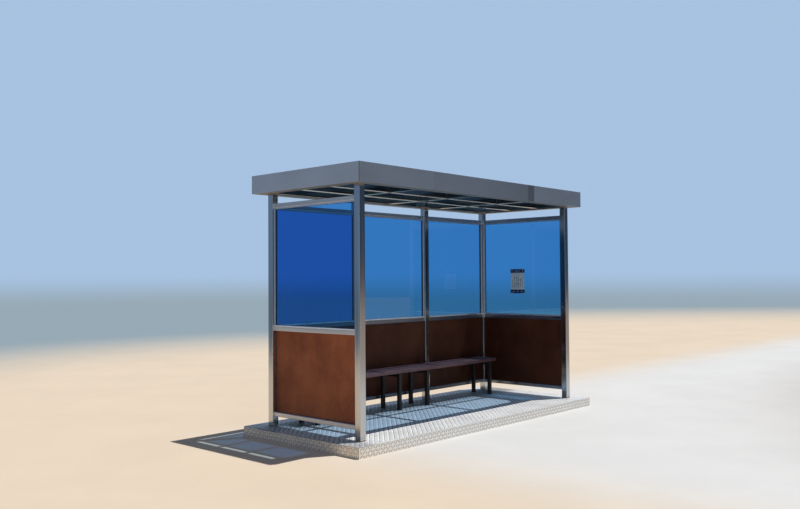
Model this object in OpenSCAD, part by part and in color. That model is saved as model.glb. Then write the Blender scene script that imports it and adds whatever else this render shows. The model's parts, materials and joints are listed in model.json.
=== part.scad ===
// Open-fronted bus shelter on a raised tread-plate platform.
// Millimetres, +Z up. The origin is on the ground at the centre of the
// posts' footprint, the open side faces -Y and the back wall is at +Y.

/* [Post grid] */
// Centre to centre of the posts along the back wall
bay_pitch = 1156; // [900:1:1300]
// Centre to centre of the front and back posts
depth_pitch = 1224; // [1000:1:1500]
// Outside width of the square posts
post_w = 70; // [60:1:90]
// Wall thickness of the posts
post_wall = 3; // [2:0.5:6]
// Outer corner radius of all the square and rectangular tubes
corner_r = 4; // [2:0.5:6]
// Height from the platform to the lower edge of the fascia
clear_h = 2295; // [2100:1:2500]

/* [Platform] */
// Height of the platform's top above the ground
deck_h = 100; // [80:1:160]
// Thickness of the tread plate
deck_t = 5; // [3:0.5:8]
// Platform beyond the posts at each end
deck_margin_x = 180; // [100:1:260]
// Platform beyond the posts at front and back
deck_margin_y = 158; // [100:1:260]
// Thickness of the skirt plates
skirt_t = 5; // [3:0.5:8]
// Wall thickness of the bearers under the platform
bearer_wall = 4; // [3:0.5:6]
// Width of the cross bearers
bearer_w = 50; // [40:1:70]

/* [Wall rails] */
// Outside width of the square rails
rail_w = 40; // [30:1:50]
// Wall thickness of the rails
rail_wall = 3; // [2:0.5:5]
// Open gap between the platform and the bottom rail
bottom_gap = 98; // [60:1:160]
// Height of the mid rail's underside above the platform
mid_rail_h = 938; // [800:1:1100]
// Open gap between the top rail and the fascia's lower edge
top_gap = 100; // [60:1:160]

/* [Glazing] */
// Thickness of the tinted glass
glass_t = 10; // [6:0.5:12]
// Play of the glass at its head and sides
glass_play = 2; // [1:0.5:4]
// Width of the glazing channel across the wall
channel_w = 26; // [20:1:30]
// Depth of the glazing channel in the plane of the wall
channel_d = 14; // [12:1:20]
// Thickness of the channel behind the edge of the glass
channel_base = 4; // [2:0.5:6]
// Space beside the glass in its channel
gasket = 0.5; // [0.3:0.1:1]

/* [Lower panels] */
// Thickness of the rust-brown plate
panel_t = 4; // [2:0.5:6]
// Clearance between the plate, the posts and the mid rail
panel_gap = 0.6; // [0.4:0.1:3]

/* [Roof] */
// Height of the folded fascia
fascia_h = 180; // [150:1:240]
// Sheet thickness of the fascia
fascia_t = 2; // [1.5:0.5:4]
// Overhang of the fascia beyond the posts
roof_margin = 112; // [80:1:200]
// Width of the fascia's return along its top edge
top_return = 30; // [20:1:50]
// Open joint between two lengths of fascia
fascia_joint = 0.6; // [0.4:0.1:1.5]
// Distance from the roof's middle to the joints of the long fascia
fascia_joint_x = 875; // [600:1:1100]
// Depth of the ring beam and the lattice bars
beam_h = 80; // [70:1:100]
// Width of the ring beam
ring_w = 70; // [40:1:76]
// Width of the lattice bars
bar_w = 40; // [30:1:60]
// Distance from the roof's middle to the outer cross bars
cross_bar_x = 917; // [600:1:1100]
// Wall thickness of the ring beam and the lattice bars
beam_wall = 3; // [2:0.5:5]
// Underside of the beams above the fascia's lower edge
beam_lift = 10; // [6:1:20]
// Thickness of the translucent roof sheet
sheet_t = 6; // [4:0.5:10]
// Clearance between the roof sheet and the fascia
sheet_gap = 4; // [2:0.5:10]
// Thickness of the brackets that carry the fascia
bracket_t = 6; // [4:0.5:10]

/* [Bench] */
// Height of the seat above the platform
seat_h = 440; // [400:1:500]
// Length of the seat
seat_l = 3100; // [2400:10:3350]
// Depth of each slat
slat_w = 90; // [70:1:110]
// Thickness of the slats
slat_t = 38; // [25:1:45]
// Gap between the slats
slat_gap = 10; // [5:1:20]
// Chamfer along the slats' edges
slat_chamfer = 3; // [1:0.5:6]
// Clearance between the seat and the back posts
seat_back_gap = 11; // [5:1:60]
// Distance from the seat's end to the middle of its outer legs
leg_inset = 119; // [60:1:200]
// Distance from the seat's middle to its inner legs
inner_leg_x = 233; // [150:1:400]
// Outside width of the square legs
leg_w = 40; // [30:1:50]
// Wall thickness of the legs and heads
leg_wall = 3; // [2:0.5:5]
// Thickness of the caps that close the heads
cap_t = 3; // [2:0.5:5]

/* [Hidden] */
BACK_BAYS = 3;
ROOF_BAYS_Y = 3;
SEAT_SLATS = 3;
CROSS_BEARERS = 7;
EPS = 1;
$fn = 24;

// Post grid
length_pitch = BACK_BAYS * bay_pitch;
half_x = (length_pitch + post_w) / 2;
half_y = (depth_pitch + post_w) / 2;
back_span = bay_pitch - post_w;
side_span = depth_pitch - post_w;

// Levels above the ground
fascia_z = deck_h + clear_h;
beam_z = fascia_z + beam_lift;
sheet_z = beam_z + beam_h;
bottom_rail_z = deck_h + bottom_gap;
mid_rail_z = deck_h + mid_rail_h;
top_rail_z = fascia_z - top_gap - rail_w;

// Platform
deck_x = 2 * (half_x + deck_margin_x);
deck_y = 2 * (half_y + deck_margin_y);
under_deck = deck_h - deck_t;
bearer_pitch = length_pitch / (CROSS_BEARERS - 1);

// Wall section, measured inwards from the posts' outer face
rail_setback = (post_w - rail_w) / 2;
panel_setback = rail_setback + rail_w - corner_r - panel_t;
channel_setback = (post_w - channel_w) / 2;
glass_setback = (post_w - glass_t) / 2;
pane_z0 = mid_rail_z + rail_w;
pane_z1 = top_rail_z;

// Roof
roof_half_x = half_x + roof_margin;
roof_half_y = half_y + roof_margin;
bar_pitch_y = depth_pitch / ROOF_BAYS_Y;
long_bars_y = [for (i = [1 : ROOF_BAYS_Y - 1]) -depth_pitch / 2 + i * bar_pitch_y];
cross_bars_x = [-cross_bar_x, 0, cross_bar_x];

// Bench
seat_depth = SEAT_SLATS * slat_w + (SEAT_SLATS - 1) * slat_gap;
seat_y1 = half_y - post_w - seat_back_gap;
seat_y0 = seat_y1 - seat_depth;
slat_z = deck_h + seat_h - slat_t;
head_z = slat_z - leg_w;
leg_rows_x = [-seat_l / 2 + leg_inset, -inner_leg_x, inner_leg_x, seat_l / 2 - leg_inset];

STEEL = [0.62, 0.64, 0.66];
TREAD = [0.72, 0.72, 0.70];
TINT = [0.20, 0.45, 0.75, 0.5];
RUST = [0.36, 0.20, 0.14];
SHEET = [0.70, 0.84, 0.95, 0.6];
SEAT = [0.28, 0.21, 0.25];
DARK = [0.14, 0.13, 0.13];

// Rectangle with round corners, from the origin
module rounded_rectangle(w, h) {
    translate([corner_r, 0]) square([w - 2 * corner_r, h]);
    translate([0, corner_r]) square([w, h - 2 * corner_r]);
    for (x = [corner_r, w - corner_r], y = [corner_r, h - corner_r])
        translate([x, y]) circle(corner_r);
}

// Section of a tube, round outside and square inside
module tube_section(w, h, wall) {
    difference() {
        rounded_rectangle(w, h);
        translate([wall, wall]) square([w - 2 * wall, h - 2 * wall]);
    }
}

// Tube along X, from the origin, w across Y and h up
module tube_x(l, w, h, wall) {
    rotate([90, 0, 90]) linear_extrude(l) tube_section(w, h, wall);
}

// The same tube along Y
module tube_y(l, w, h, wall) {
    translate([w, 0, 0]) rotate([0, 0, 90]) tube_x(l, w, h, wall);
}

// Square tube standing up, centred on the Z axis
module tube_z(l, w, wall) {
    translate([-w / 2, -w / 2, 0]) linear_extrude(l) tube_section(w, w, wall);
}

// Places a wall bay: its X runs along the wall from the middle of the bay
// and its Y runs inwards from the posts' outer face
module in_back_bay(index) {
    middle = (index - (BACK_BAYS - 1) / 2) * bay_pitch;
    translate([middle, half_y, 0]) rotate([0, 0, 180]) children();
}

module in_left_wall() {
    translate([-half_x, 0, 0]) rotate([0, 0, -90]) children();
}

module in_right_wall() {
    translate([half_x, 0, 0]) rotate([0, 0, 90]) children();
}

// Platform

module deck_plate() {
    color(TREAD)
        translate([-deck_x / 2, -deck_y / 2, under_deck]) cube([deck_x, deck_y, deck_t]);
}

module skirts_long() {
    color(TREAD)
        for (y = [-deck_y / 2, deck_y / 2 - skirt_t])
            translate([-deck_x / 2, y, 0]) cube([deck_x, skirt_t, under_deck]);
}

module skirts_end() {
    inner_y = deck_y - 2 * skirt_t;
    color(TREAD)
        for (x = [-deck_x / 2, deck_x / 2 - skirt_t])
            translate([x, -inner_y / 2, 0]) cube([skirt_t, inner_y, under_deck]);
}

// Tubes on the ground under the two rows of posts
module bearers_long() {
    inner_x = deck_x - 2 * skirt_t;
    color(STEEL)
        for (side = [-1, 1])
            translate([-inner_x / 2, side * depth_pitch / 2 - post_w / 2, 0])
                tube_x(inner_x, post_w, under_deck, bearer_wall);
}

// Tubes between the two long bearers
module bearers_cross() {
    color(STEEL)
        for (i = [0 : CROSS_BEARERS - 1])
            translate([-length_pitch / 2 + i * bearer_pitch - bearer_w / 2, -side_span / 2, 0])
                tube_y(side_span, bearer_w, under_deck, bearer_wall);
}

// Posts, from the platform to the roof sheet

module post(x, y) {
    color(STEEL) translate([x, y, deck_h]) tube_z(sheet_z - deck_h, post_w, post_wall);
}

module post_front_left() { post(-length_pitch / 2, -depth_pitch / 2); }
module post_front_right() { post(length_pitch / 2, -depth_pitch / 2); }
module post_back_left() { post(-length_pitch / 2, depth_pitch / 2); }
module post_back_mid_left() { post(-bay_pitch / 2, depth_pitch / 2); }
module post_back_mid_right() { post(bay_pitch / 2, depth_pitch / 2); }
module post_back_right() { post(length_pitch / 2, depth_pitch / 2); }

// Rails between the posts

module rail(span, z) {
    color(STEEL) translate([-span / 2, rail_setback, z]) tube_x(span, rail_w, rail_w, rail_wall);
}

module side_rails() {
    for (z = [bottom_rail_z, mid_rail_z, top_rail_z]) rail(side_span, z);
}

module back_rails(z) {
    for (i = [0 : BACK_BAYS - 1]) in_back_bay(i) rail(back_span, z);
}

module rails_left() { in_left_wall() side_rails(); }
module rails_right() { in_right_wall() side_rails(); }
module rails_back_top() { back_rails(top_rail_z); }
module rails_back_middle() { back_rails(mid_rail_z); }
module rails_back_bottom() { back_rails(bottom_rail_z); }

// Glazing channels: a grooved section along X, its groove facing up
module channel_section(l) {
    groove_w = glass_t + 2 * gasket;
    difference() {
        translate([-l / 2, channel_setback, 0]) cube([l, channel_w, channel_d]);
        translate([-l / 2 - EPS, (post_w - groove_w) / 2, channel_base])
            cube([l + 2 * EPS, groove_w, channel_d]);
    }
}

// Sill, head and two jambs, with hairline joints at the corners
module channel_set(span) {
    hairline = gasket;
    jamb_l = pane_z1 - pane_z0 - 2 * channel_d - 2 * hairline;
    color(STEEL) {
        translate([0, 0, pane_z0]) channel_section(span);
        translate([0, 0, pane_z1]) mirror([0, 0, 1]) channel_section(span);
        for (side = [-1, 1])
            translate([side * span / 2, 0, (pane_z0 + pane_z1) / 2])
                rotate([0, -side * 90, 0]) channel_section(jamb_l);
    }
}

module channels_left() { in_left_wall() channel_set(side_span); }
module channels_right() { in_right_wall() channel_set(side_span); }
module channels_back_left() { in_back_bay(0) channel_set(back_span); }
module channels_back_middle() { in_back_bay(1) channel_set(back_span); }
module channels_back_right() { in_back_bay(2) channel_set(back_span); }

// Glass, seated in the groove of the sill
module pane(span) {
    pane_w = span - 2 * channel_base - 2 * glass_play;
    pane_h = pane_z1 - pane_z0 - 2 * channel_base - glass_play;
    color(TINT)
        translate([-pane_w / 2, glass_setback, pane_z0 + channel_base])
            cube([pane_w, glass_t, pane_h]);
}

module glass_left() { in_left_wall() pane(side_span); }
module glass_right() { in_right_wall() pane(side_span); }
module glass_back_left() { in_back_bay(0) pane(back_span); }
module glass_back_middle() { in_back_bay(1) pane(back_span); }
module glass_back_right() { in_back_bay(2) pane(back_span); }

// Rust-brown plate that stands on the bottom rail, near its inner face
module lower_panel(span) {
    z0 = bottom_rail_z + rail_w;
    z1 = mid_rail_z - panel_gap;
    w = span - 2 * panel_gap;
    color(RUST) translate([-w / 2, panel_setback, z0]) cube([w, panel_t, z1 - z0]);
}

module panel_left() { in_left_wall() lower_panel(side_span); }
module panel_right() { in_right_wall() lower_panel(side_span); }
module panel_back_left() { in_back_bay(0) lower_panel(back_span); }
module panel_back_middle() { in_back_bay(1) lower_panel(back_span); }
module panel_back_right() { in_back_bay(2) lower_panel(back_span); }

// Roof frame: a ring of beams round the posts, with a lattice inside it

module ring_beams_long() {
    l = 2 * (half_x + ring_w);
    color(STEEL)
        for (y = [-half_y - ring_w, half_y])
            translate([-l / 2, y, beam_z]) tube_x(l, ring_w, beam_h, beam_wall);
}

module ring_beams_cross() {
    color(STEEL)
        for (x = [-half_x - ring_w, half_x])
            translate([x, -half_y, beam_z]) tube_y(2 * half_y, ring_w, beam_h, beam_wall);
}

module lattice_bars_long() {
    color(STEEL)
        for (y = long_bars_y)
            translate([-half_x, y - bar_w / 2, beam_z])
                tube_x(2 * half_x, bar_w, beam_h, beam_wall);
}

// Short bars between the ring beams and the long bars
module lattice_bars_cross() {
    starts = concat([-half_y], [for (y = long_bars_y) y + bar_w / 2]);
    ends = concat([for (y = long_bars_y) y - bar_w / 2], [half_y]);
    color(STEEL)
        for (x = cross_bars_x, j = [0 : ROOF_BAYS_Y - 1])
            translate([x - bar_w / 2, starts[j], beam_z])
                tube_y(ends[j] - starts[j], bar_w, beam_h, beam_wall);
}

// Section of the folded fascia: X inwards from its outer face, Y up
module fascia_section() {
    polygon([
        [0, 0], [roof_margin, 0], [roof_margin, fascia_t], [fascia_t, fascia_t],
        [fascia_t, fascia_h - fascia_t], [top_return, fascia_h - fascia_t],
        [top_return, fascia_h], [0, fascia_h]
    ]);
}

// One side of the fascia, along X with its outer face towards -Y,
// mitred at both ends
module fascia_side(half_l, half_w) {
    reach = roof_margin + EPS;
    translate([0, -half_w, fascia_z])
        intersection() {
            translate([-half_l, 0, 0]) rotate([90, 0, 90])
                linear_extrude(2 * half_l) fascia_section();
            translate([0, 0, -EPS]) linear_extrude(fascia_h + 2 * EPS)
                polygon([
                    [-half_l + fascia_joint / 2, 0], [half_l - fascia_joint / 2, 0],
                    [half_l - reach - fascia_joint / 2, reach],
                    [-half_l + reach + fascia_joint / 2, reach]
                ]);
        }
}

// The long sides come in three lengths
module long_fascia() {
    color(STEEL)
        difference() {
            fascia_side(roof_half_x, roof_half_y);
            for (side = [-1, 1])
                translate([
                    side * fascia_joint_x - fascia_joint / 2, -roof_half_y - EPS, fascia_z - EPS
                ])
                    cube([fascia_joint, roof_margin + 2 * EPS, fascia_h + 2 * EPS]);
        }
}

module end_fascia() {
    color(STEEL) fascia_side(roof_half_y, roof_half_x);
}

module fascia_front() { long_fascia(); }
module fascia_back() { rotate([0, 0, 180]) long_fascia(); }
module fascia_left() { rotate([0, 0, -90]) end_fascia(); }
module fascia_right() { rotate([0, 0, 90]) end_fascia(); }

// Plate that holds the fascia to the ring beam, with a foot under the beam:
// X inwards from the fascia's outer face, Y up
module bracket() {
    beam_x = roof_margin - ring_w;
    foot_x = roof_margin - corner_r;
    translate([-bracket_t / 2, 0, fascia_z])
        rotate([90, 0, 90]) linear_extrude(bracket_t)
            polygon([
                [fascia_t, fascia_t], [foot_x, fascia_t], [foot_x, beam_lift],
                [beam_x, beam_lift], [beam_x, beam_lift + beam_h], [fascia_t, beam_lift + beam_h]
            ]);
}

module fascia_brackets() {
    color(STEEL) {
        for (turn = [0, 180], i = [-1.5, -0.5, 0.5, 1.5])
            rotate([0, 0, turn]) translate([i * bay_pitch, -roof_half_y, 0]) bracket();
        for (turn = [-90, 90], i = [-1, 0, 1])
            rotate([0, 0, turn])
                translate([i * depth_pitch / 2, -roof_half_x, 0]) bracket();
    }
}

module roof_sheet() {
    w = 2 * (roof_half_x - fascia_t - sheet_gap);
    d = 2 * (roof_half_y - fascia_t - sheet_gap);
    color(SHEET) translate([-w / 2, -d / 2, sheet_z]) cube([w, d, sheet_t]);
}

// Bench along the back wall: slats on four pairs of legs, each pair under
// a short head tube

module bench_slats() {
    c = slat_chamfer;
    color(SEAT)
        for (i = [0 : SEAT_SLATS - 1])
            translate([-seat_l / 2, seat_y0 + i * (slat_w + slat_gap), slat_z])
                rotate([90, 0, 90]) linear_extrude(seat_l)
                    polygon([
                        [c, 0], [slat_w - c, 0], [slat_w, c], [slat_w, slat_t - c],
                        [slat_w - c, slat_t], [c, slat_t], [0, slat_t - c], [0, c]
                    ]);
}

module bench_heads() {
    color(DARK)
        for (x = leg_rows_x)
            translate([x - leg_w / 2, seat_y0 + cap_t, head_z])
                tube_y(seat_depth - 2 * cap_t, leg_w, leg_w, leg_wall);
}

module bench_head_caps() {
    color(DARK)
        for (x = leg_rows_x, y = [seat_y0 + cap_t, seat_y1])
            translate([x - leg_w / 2, y, head_z])
                rotate([90, 0, 0]) linear_extrude(cap_t) rounded_rectangle(leg_w, leg_w);
}

module bench_legs() {
    color(DARK)
        for (x = leg_rows_x, y = [seat_y0 + leg_w / 2, seat_y1 - leg_w / 2])
            translate([x, y, deck_h]) tube_z(head_z - deck_h, leg_w, leg_wall);
}

deck_plate();
skirts_long();
skirts_end();
bearers_long();
bearers_cross();
post_front_left();
post_front_right();
post_back_left();
post_back_mid_left();
post_back_mid_right();
post_back_right();
rails_left();
rails_right();
rails_back_top();
rails_back_middle();
rails_back_bottom();
channels_left();
channels_right();
channels_back_left();
channels_back_middle();
channels_back_right();
glass_left();
glass_right();
glass_back_left();
glass_back_middle();
glass_back_right();
panel_left();
panel_right();
panel_back_left();
panel_back_middle();
panel_back_right();
ring_beams_long();
ring_beams_cross();
lattice_bars_long();
lattice_bars_cross();
fascia_front();
fascia_back();
fascia_left();
fascia_right();
fascia_brackets();
roof_sheet();
bench_slats();
bench_heads();
bench_head_caps();
bench_legs();
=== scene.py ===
"""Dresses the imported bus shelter: finishes, tread lugs, welds, gaskets, notice, lights and camera.

Lengths are metres, +Z is up, the open side faces -Y and the back wall stands at +Y.
"""

import json
import logging
import math
from collections.abc import Callable, Iterable
from dataclasses import dataclass
from enum import Enum
from functools import cached_property

import bpy
from mathutils import Matrix, Vector

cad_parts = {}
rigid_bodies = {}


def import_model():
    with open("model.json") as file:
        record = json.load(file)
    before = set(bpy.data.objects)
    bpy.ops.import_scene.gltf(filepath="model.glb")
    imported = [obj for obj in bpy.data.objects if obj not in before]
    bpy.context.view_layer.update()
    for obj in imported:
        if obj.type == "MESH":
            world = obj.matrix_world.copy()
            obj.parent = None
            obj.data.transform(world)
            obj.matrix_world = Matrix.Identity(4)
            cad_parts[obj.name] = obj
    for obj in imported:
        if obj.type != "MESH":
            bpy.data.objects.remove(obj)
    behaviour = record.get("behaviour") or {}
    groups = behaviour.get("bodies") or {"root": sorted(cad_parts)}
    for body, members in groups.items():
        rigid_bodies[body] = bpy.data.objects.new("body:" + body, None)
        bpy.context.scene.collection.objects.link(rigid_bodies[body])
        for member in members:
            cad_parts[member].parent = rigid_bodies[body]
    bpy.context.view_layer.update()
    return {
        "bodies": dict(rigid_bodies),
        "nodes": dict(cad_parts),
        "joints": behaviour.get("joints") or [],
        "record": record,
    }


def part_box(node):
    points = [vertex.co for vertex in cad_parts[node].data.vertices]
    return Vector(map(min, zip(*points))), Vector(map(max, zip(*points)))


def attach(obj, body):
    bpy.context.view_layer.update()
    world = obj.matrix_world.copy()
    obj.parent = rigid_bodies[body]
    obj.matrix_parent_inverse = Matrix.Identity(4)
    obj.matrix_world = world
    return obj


LOG = logging.getLogger("bus_shelter")
MM = 0.001
SIDES = (-1, 1)
WHITE = (1.0, 1.0, 1.0)

Piece = bpy.types.Object
Socket = bpy.types.NodeSocket
Colour = tuple[float, float, float]
Point = tuple[float, float, float]
Span = tuple[float, float]


class Axis(Enum):
    """The direction that a tube, a wall or a brushed grain runs in."""

    X = 0
    Y = 1
    Z = 2


class Wall(Enum):
    """The five glazed bays, each with the last words of its nodes' names and its direction."""

    LEFT = ("left", Axis.Y)
    RIGHT = ("right", Axis.Y)
    BACK_LEFT = ("back_left", Axis.X)
    BACK_MIDDLE = ("back_middle", Axis.X)
    BACK_RIGHT = ("back_right", Axis.X)

    @property
    def suffix(self) -> str:
        """The last words of the names of this bay's nodes."""
        return self.value[0]

    @property
    def along(self) -> int:
        """The number of the axis that the wall runs along."""
        return self.value[1].value

    @property
    def across(self) -> int:
        """The number of the axis that the wall's thickness lies along."""
        return 1 - self.along


class Element(Enum):
    """What is selected in edit mode."""

    FACE = "FACE"
    EDGE = "EDGE"
    VERTEX = "VERT"


class Box:
    """The box of a CAD node at rest."""

    def __init__(self, node: str) -> None:
        """Reads the node's corners from the frame.

        Args:
            node: The node's name.
        """
        self.low, self.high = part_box(node)
        self.centre = (self.low + self.high) / 2
        self.size = self.high - self.low


# Modelling helpers


def deselect() -> None:
    """Deselects every object."""
    bpy.ops.object.select_all(action="DESELECT")


def take(piece: Piece) -> Piece:
    """Makes one object the only selected and active one.

    Args:
        piece: The object to work on.

    Returns:
        The same object.
    """
    deselect()
    piece.select_set(True)
    bpy.context.view_layer.objects.active = piece
    return piece


def freeze(piece: Piece) -> Piece:
    """Moves an object's place, turn and scale into its mesh.

    Args:
        piece: The object to freeze.

    Returns:
        The same object, at the origin.
    """
    take(piece)
    bpy.ops.object.transform_apply(location=True, rotation=True, scale=True)
    return piece


def apply_modifiers(piece: Piece) -> None:
    """Applies every modifier of an object in order.

    Args:
        piece: The object, which becomes the active one.
    """
    take(piece)
    for modifier in list(piece.modifiers):
        bpy.ops.object.modifier_apply(modifier=modifier.name)


def join(pieces: Iterable[Piece], name: str) -> Piece:
    """Joins objects into one.

    Args:
        pieces: The objects to join.
        name: The name of the joined object.

    Returns:
        The joined object.
    """
    pieces = list(pieces)
    joined = take(pieces[0])
    for piece in pieces:
        piece.select_set(True)
    if len(pieces) > 1:
        bpy.ops.object.join()
    joined.name = name
    joined.data.name = name
    return joined


def spots(points: Iterable[Point]) -> list[Matrix]:
    """The places of copies that are moved to points and not turned."""
    return [Matrix.Translation(point) for point in points]


def copies(piece: Piece, places: Iterable[Matrix], name: str) -> Piece:
    """Copies a piece to several places, each with its own mesh, and joins them.

    Args:
        piece: The pattern, which is used up.
        places: One matrix for each copy.
        name: The name of the joined object.

    Returns:
        All the copies as one object at the origin.
    """
    made = []
    for place in places:
        twin = piece.copy()
        twin.data = piece.data.copy()
        bpy.context.collection.objects.link(twin)
        twin.data.transform(place @ piece.matrix_world)
        twin.matrix_world = Matrix.Identity(4)
        made.append(twin)
    bpy.data.objects.remove(piece)
    return join(made, name)


def array(piece: Piece, step: Point, count: int) -> None:
    """Repeats a piece with an applied Array modifier of constant step.

    Args:
        piece: The object to repeat.
        step: The offset from one copy to the next.
        count: How many copies there are in all.
    """
    repeat = piece.modifiers.new("repeat", "ARRAY")
    repeat.use_relative_offset = False
    repeat.use_constant_offset = True
    repeat.constant_offset_displace = step
    repeat.count = count
    apply_modifiers(piece)


def object_mode() -> None:
    """Goes back to object mode."""
    bpy.ops.object.mode_set(mode="OBJECT")


def select_where(piece: Piece, kind: Element, test: Callable[[Vector], bool]) -> None:
    """Enters edit mode with only the elements selected that pass a test.

    Args:
        piece: The object to edit.
        kind: What is selected.
        test: Says of an element's middle whether it is selected.
    """
    take(piece)
    bpy.ops.object.mode_set(mode="EDIT")
    bpy.ops.mesh.select_mode(type=kind.value)
    bpy.ops.mesh.select_all(action="DESELECT")
    object_mode()
    mesh = piece.data
    if kind is Element.FACE:
        middles = [(face, face.center) for face in mesh.polygons]
    elif kind is Element.VERTEX:
        middles = [(point, point.co) for point in mesh.vertices]
    else:
        middles = []
        for edge in mesh.edges:
            start, end = (mesh.vertices[i].co for i in edge.vertices)
            middles.append((edge, (start + end) / 2))
    for element, middle in middles:
        element.select = test(middle)
    bpy.ops.object.mode_set(mode="EDIT")


def extrude(depth: float) -> None:
    """Extrudes what is selected in edit mode along Z."""
    bpy.ops.mesh.extrude_region_move(TRANSFORM_OT_translate={"value": (0, 0, depth)})


def thicken(depth: float) -> None:
    """Gives the flat mesh in edit mode a depth along Z, turns its faces outwards and ends the edit.

    Args:
        depth: How far it rises.
    """
    bpy.ops.mesh.select_all(action="SELECT")
    extrude(depth)
    bpy.ops.mesh.select_all(action="SELECT")
    bpy.ops.mesh.normals_make_consistent(inside=False)
    object_mode()


def rounded(piece: Piece, width: float, segments: int) -> None:
    """Rounds the sharp edges of a piece with an applied Bevel modifier and shades it by angle.

    Args:
        piece: The piece to round.
        width: The width of the rounding.
        segments: How many faces it has.
    """
    bevel = piece.modifiers.new("rounding", "BEVEL")
    bevel.width = width
    bevel.segments = segments
    bevel.limit_method = "ANGLE"
    bevel.angle_limit = math.radians(35)
    apply_modifiers(piece)
    bpy.ops.object.shade_smooth_by_angle(angle=math.radians(50))


def rectangle(name: str, width: float, height: float, middle: Point = (0, 0, 0)) -> Piece:
    """Adds a flat rectangle that faces up.

    Args:
        name: The rectangle's name.
        width: Its size along X.
        height: Its size along Y.
        middle: Where its middle is.

    Returns:
        The rectangle, with its place in its mesh.
    """
    deselect()
    bpy.ops.mesh.primitive_plane_add(size=1)
    sheet = bpy.context.active_object
    sheet.name = name
    sheet.scale = (width, height, 1)
    sheet.location = middle
    return freeze(sheet)


def rod(sides: int, radius: float, bottom: float, top: float) -> Piece:
    """Adds an upright rod on the Z axis.

    Args:
        sides: How many sides it has.
        radius: Its radius.
        bottom: The height of its bottom.
        top: The height of its top.

    Returns:
        The rod, with its place in its mesh.
    """
    deselect()
    bpy.ops.mesh.primitive_cylinder_add(vertices=sides, radius=radius, depth=top - bottom)
    made = bpy.context.active_object
    made.location.z = (bottom + top) / 2
    return freeze(made)


def plate_frame(width: float, height: float, bar: float, depth: float, soft: float) -> Piece:
    """Models a picture-frame shape that rises from the XY plane, centred on the origin.

    Args:
        width: Its outer size along X.
        height: Its outer size along Y.
        bar: How wide its four sides are.
        depth: How far it rises along Z.
        soft: The rounding of its edges.

    Returns:
        The closed frame.
    """
    frame = rectangle("frame", width, height)
    select_where(frame, Element.FACE, lambda p: True)
    bpy.ops.mesh.inset(thickness=bar)
    bpy.ops.mesh.delete(type="FACE")
    thicken(depth)
    rounded(frame, soft, 2)
    return frame


def facing(centre: Vector, normal: Vector) -> Matrix:
    """The place of a piece that was modelled rising along Z and now rises from an upright face.

    Args:
        centre: Where the piece's origin goes.
        normal: The level direction that the face looks in.

    Returns:
        The matrix; the piece's Y is up.
    """
    up = Vector((0, 0, 1))
    turn = Matrix((up.cross(normal), up, normal)).transposed()
    return Matrix.Translation(centre) @ turn.to_4x4()


def both_faces(middle: Vector, sheet: Box, across: int) -> list[Matrix]:
    """The places of two pieces that rise from the two faces of an upright sheet.

    Args:
        middle: Where the pieces' origins go, apart from their depth.
        sheet: The sheet's box.
        across: The number of the axis that the sheet's thickness lies along.

    Returns:
        One matrix for each face.
    """
    places = []
    for side, face in zip(SIDES, (sheet.low, sheet.high)):
        normal = Vector((0, 0, 0))
        normal[across] = side
        centre = middle.copy()
        centre[across] = face[across]
        places.append(facing(centre, normal))
    return places


def weld_loop(width: float, height: float, radius: float, corner: float) -> Piece:
    """Models one closed weld bead round a tube's end, in the XY plane at the origin.

    Args:
        width: The tube's size along X.
        height: The tube's size along Y.
        radius: Half the thickness of the bead.
        corner: The tube's corner radius.

    Returns:
        The bead as a mesh with small ripples.
    """
    cut_length = 5 * MM
    ripple_size = 6 * MM
    bead = rectangle("bead", width, height)
    select_where(bead, Element.VERTEX, lambda p: True)
    bpy.ops.mesh.bevel(offset=corner, segments=3, affect="VERTICES")
    bpy.ops.mesh.select_all(action="SELECT")
    bpy.ops.mesh.delete(type="ONLY_FACE")
    object_mode()
    select_where(bead, Element.EDGE, lambda p: min(abs(p.x), abs(p.y)) < corner)
    bpy.ops.mesh.subdivide(number_cuts=int(min(width, height) / cut_length))
    object_mode()
    take(bead)
    bpy.ops.object.convert(target="CURVE")
    bead = bpy.context.active_object
    bead.data.bevel_depth = radius
    bead.data.bevel_resolution = 1
    bpy.ops.object.convert(target="MESH")
    bead = bpy.context.active_object
    cloud = bpy.data.textures.new("weld_ripple", "CLOUDS")
    cloud.noise_scale = ripple_size
    ripple = bead.modifiers.new("ripple", "DISPLACE")
    ripple.texture = cloud
    ripple.strength = radius / 2
    ripple.mid_level = 0.5
    apply_modifiers(bead)
    bpy.ops.object.shade_smooth()
    return bead


def screw_head(radius: float, height: float, washer: float = 0.0) -> Piece:
    """Models a round screw head with a sunk socket and, if asked for, a washer, rising along Z.

    Args:
        radius: The head's radius.
        height: How high the head stands.
        washer: The washer's radius, or 0 for none.

    Returns:
        The screw head.
    """
    hair = 0.01 * MM
    foot = 0.0
    parts = []
    if washer:
        foot = 1.5 * MM
        ring = rod(20, washer, 0.0, foot)
        rounded(ring, 0.4 * MM, 1)
        parts.append(ring)
    head = rod(18, radius, foot, foot + height)
    top = foot + height
    select_where(head, Element.FACE, lambda p: p.z > top - hair)
    bpy.ops.mesh.bevel(offset=0.55 * min(height, radius), segments=2, affect="EDGES")
    object_mode()
    select_where(head, Element.FACE, lambda p: p.z > top - hair)
    bpy.ops.mesh.inset(thickness=0.12 * radius)
    extrude(-min(1.6 * MM, 0.6 * height))
    object_mode()
    take(head)
    bpy.ops.object.shade_smooth_by_angle(angle=math.radians(40))
    return join([*parts, head], "screw")


# Shader helpers


def shade(colour: Colour, level: float, lift: float = 0.0) -> Colour:
    """A colour made lighter or darker by one factor, with a little added."""
    return tuple(min(1.0, level * c + lift) for c in colour)


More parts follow.
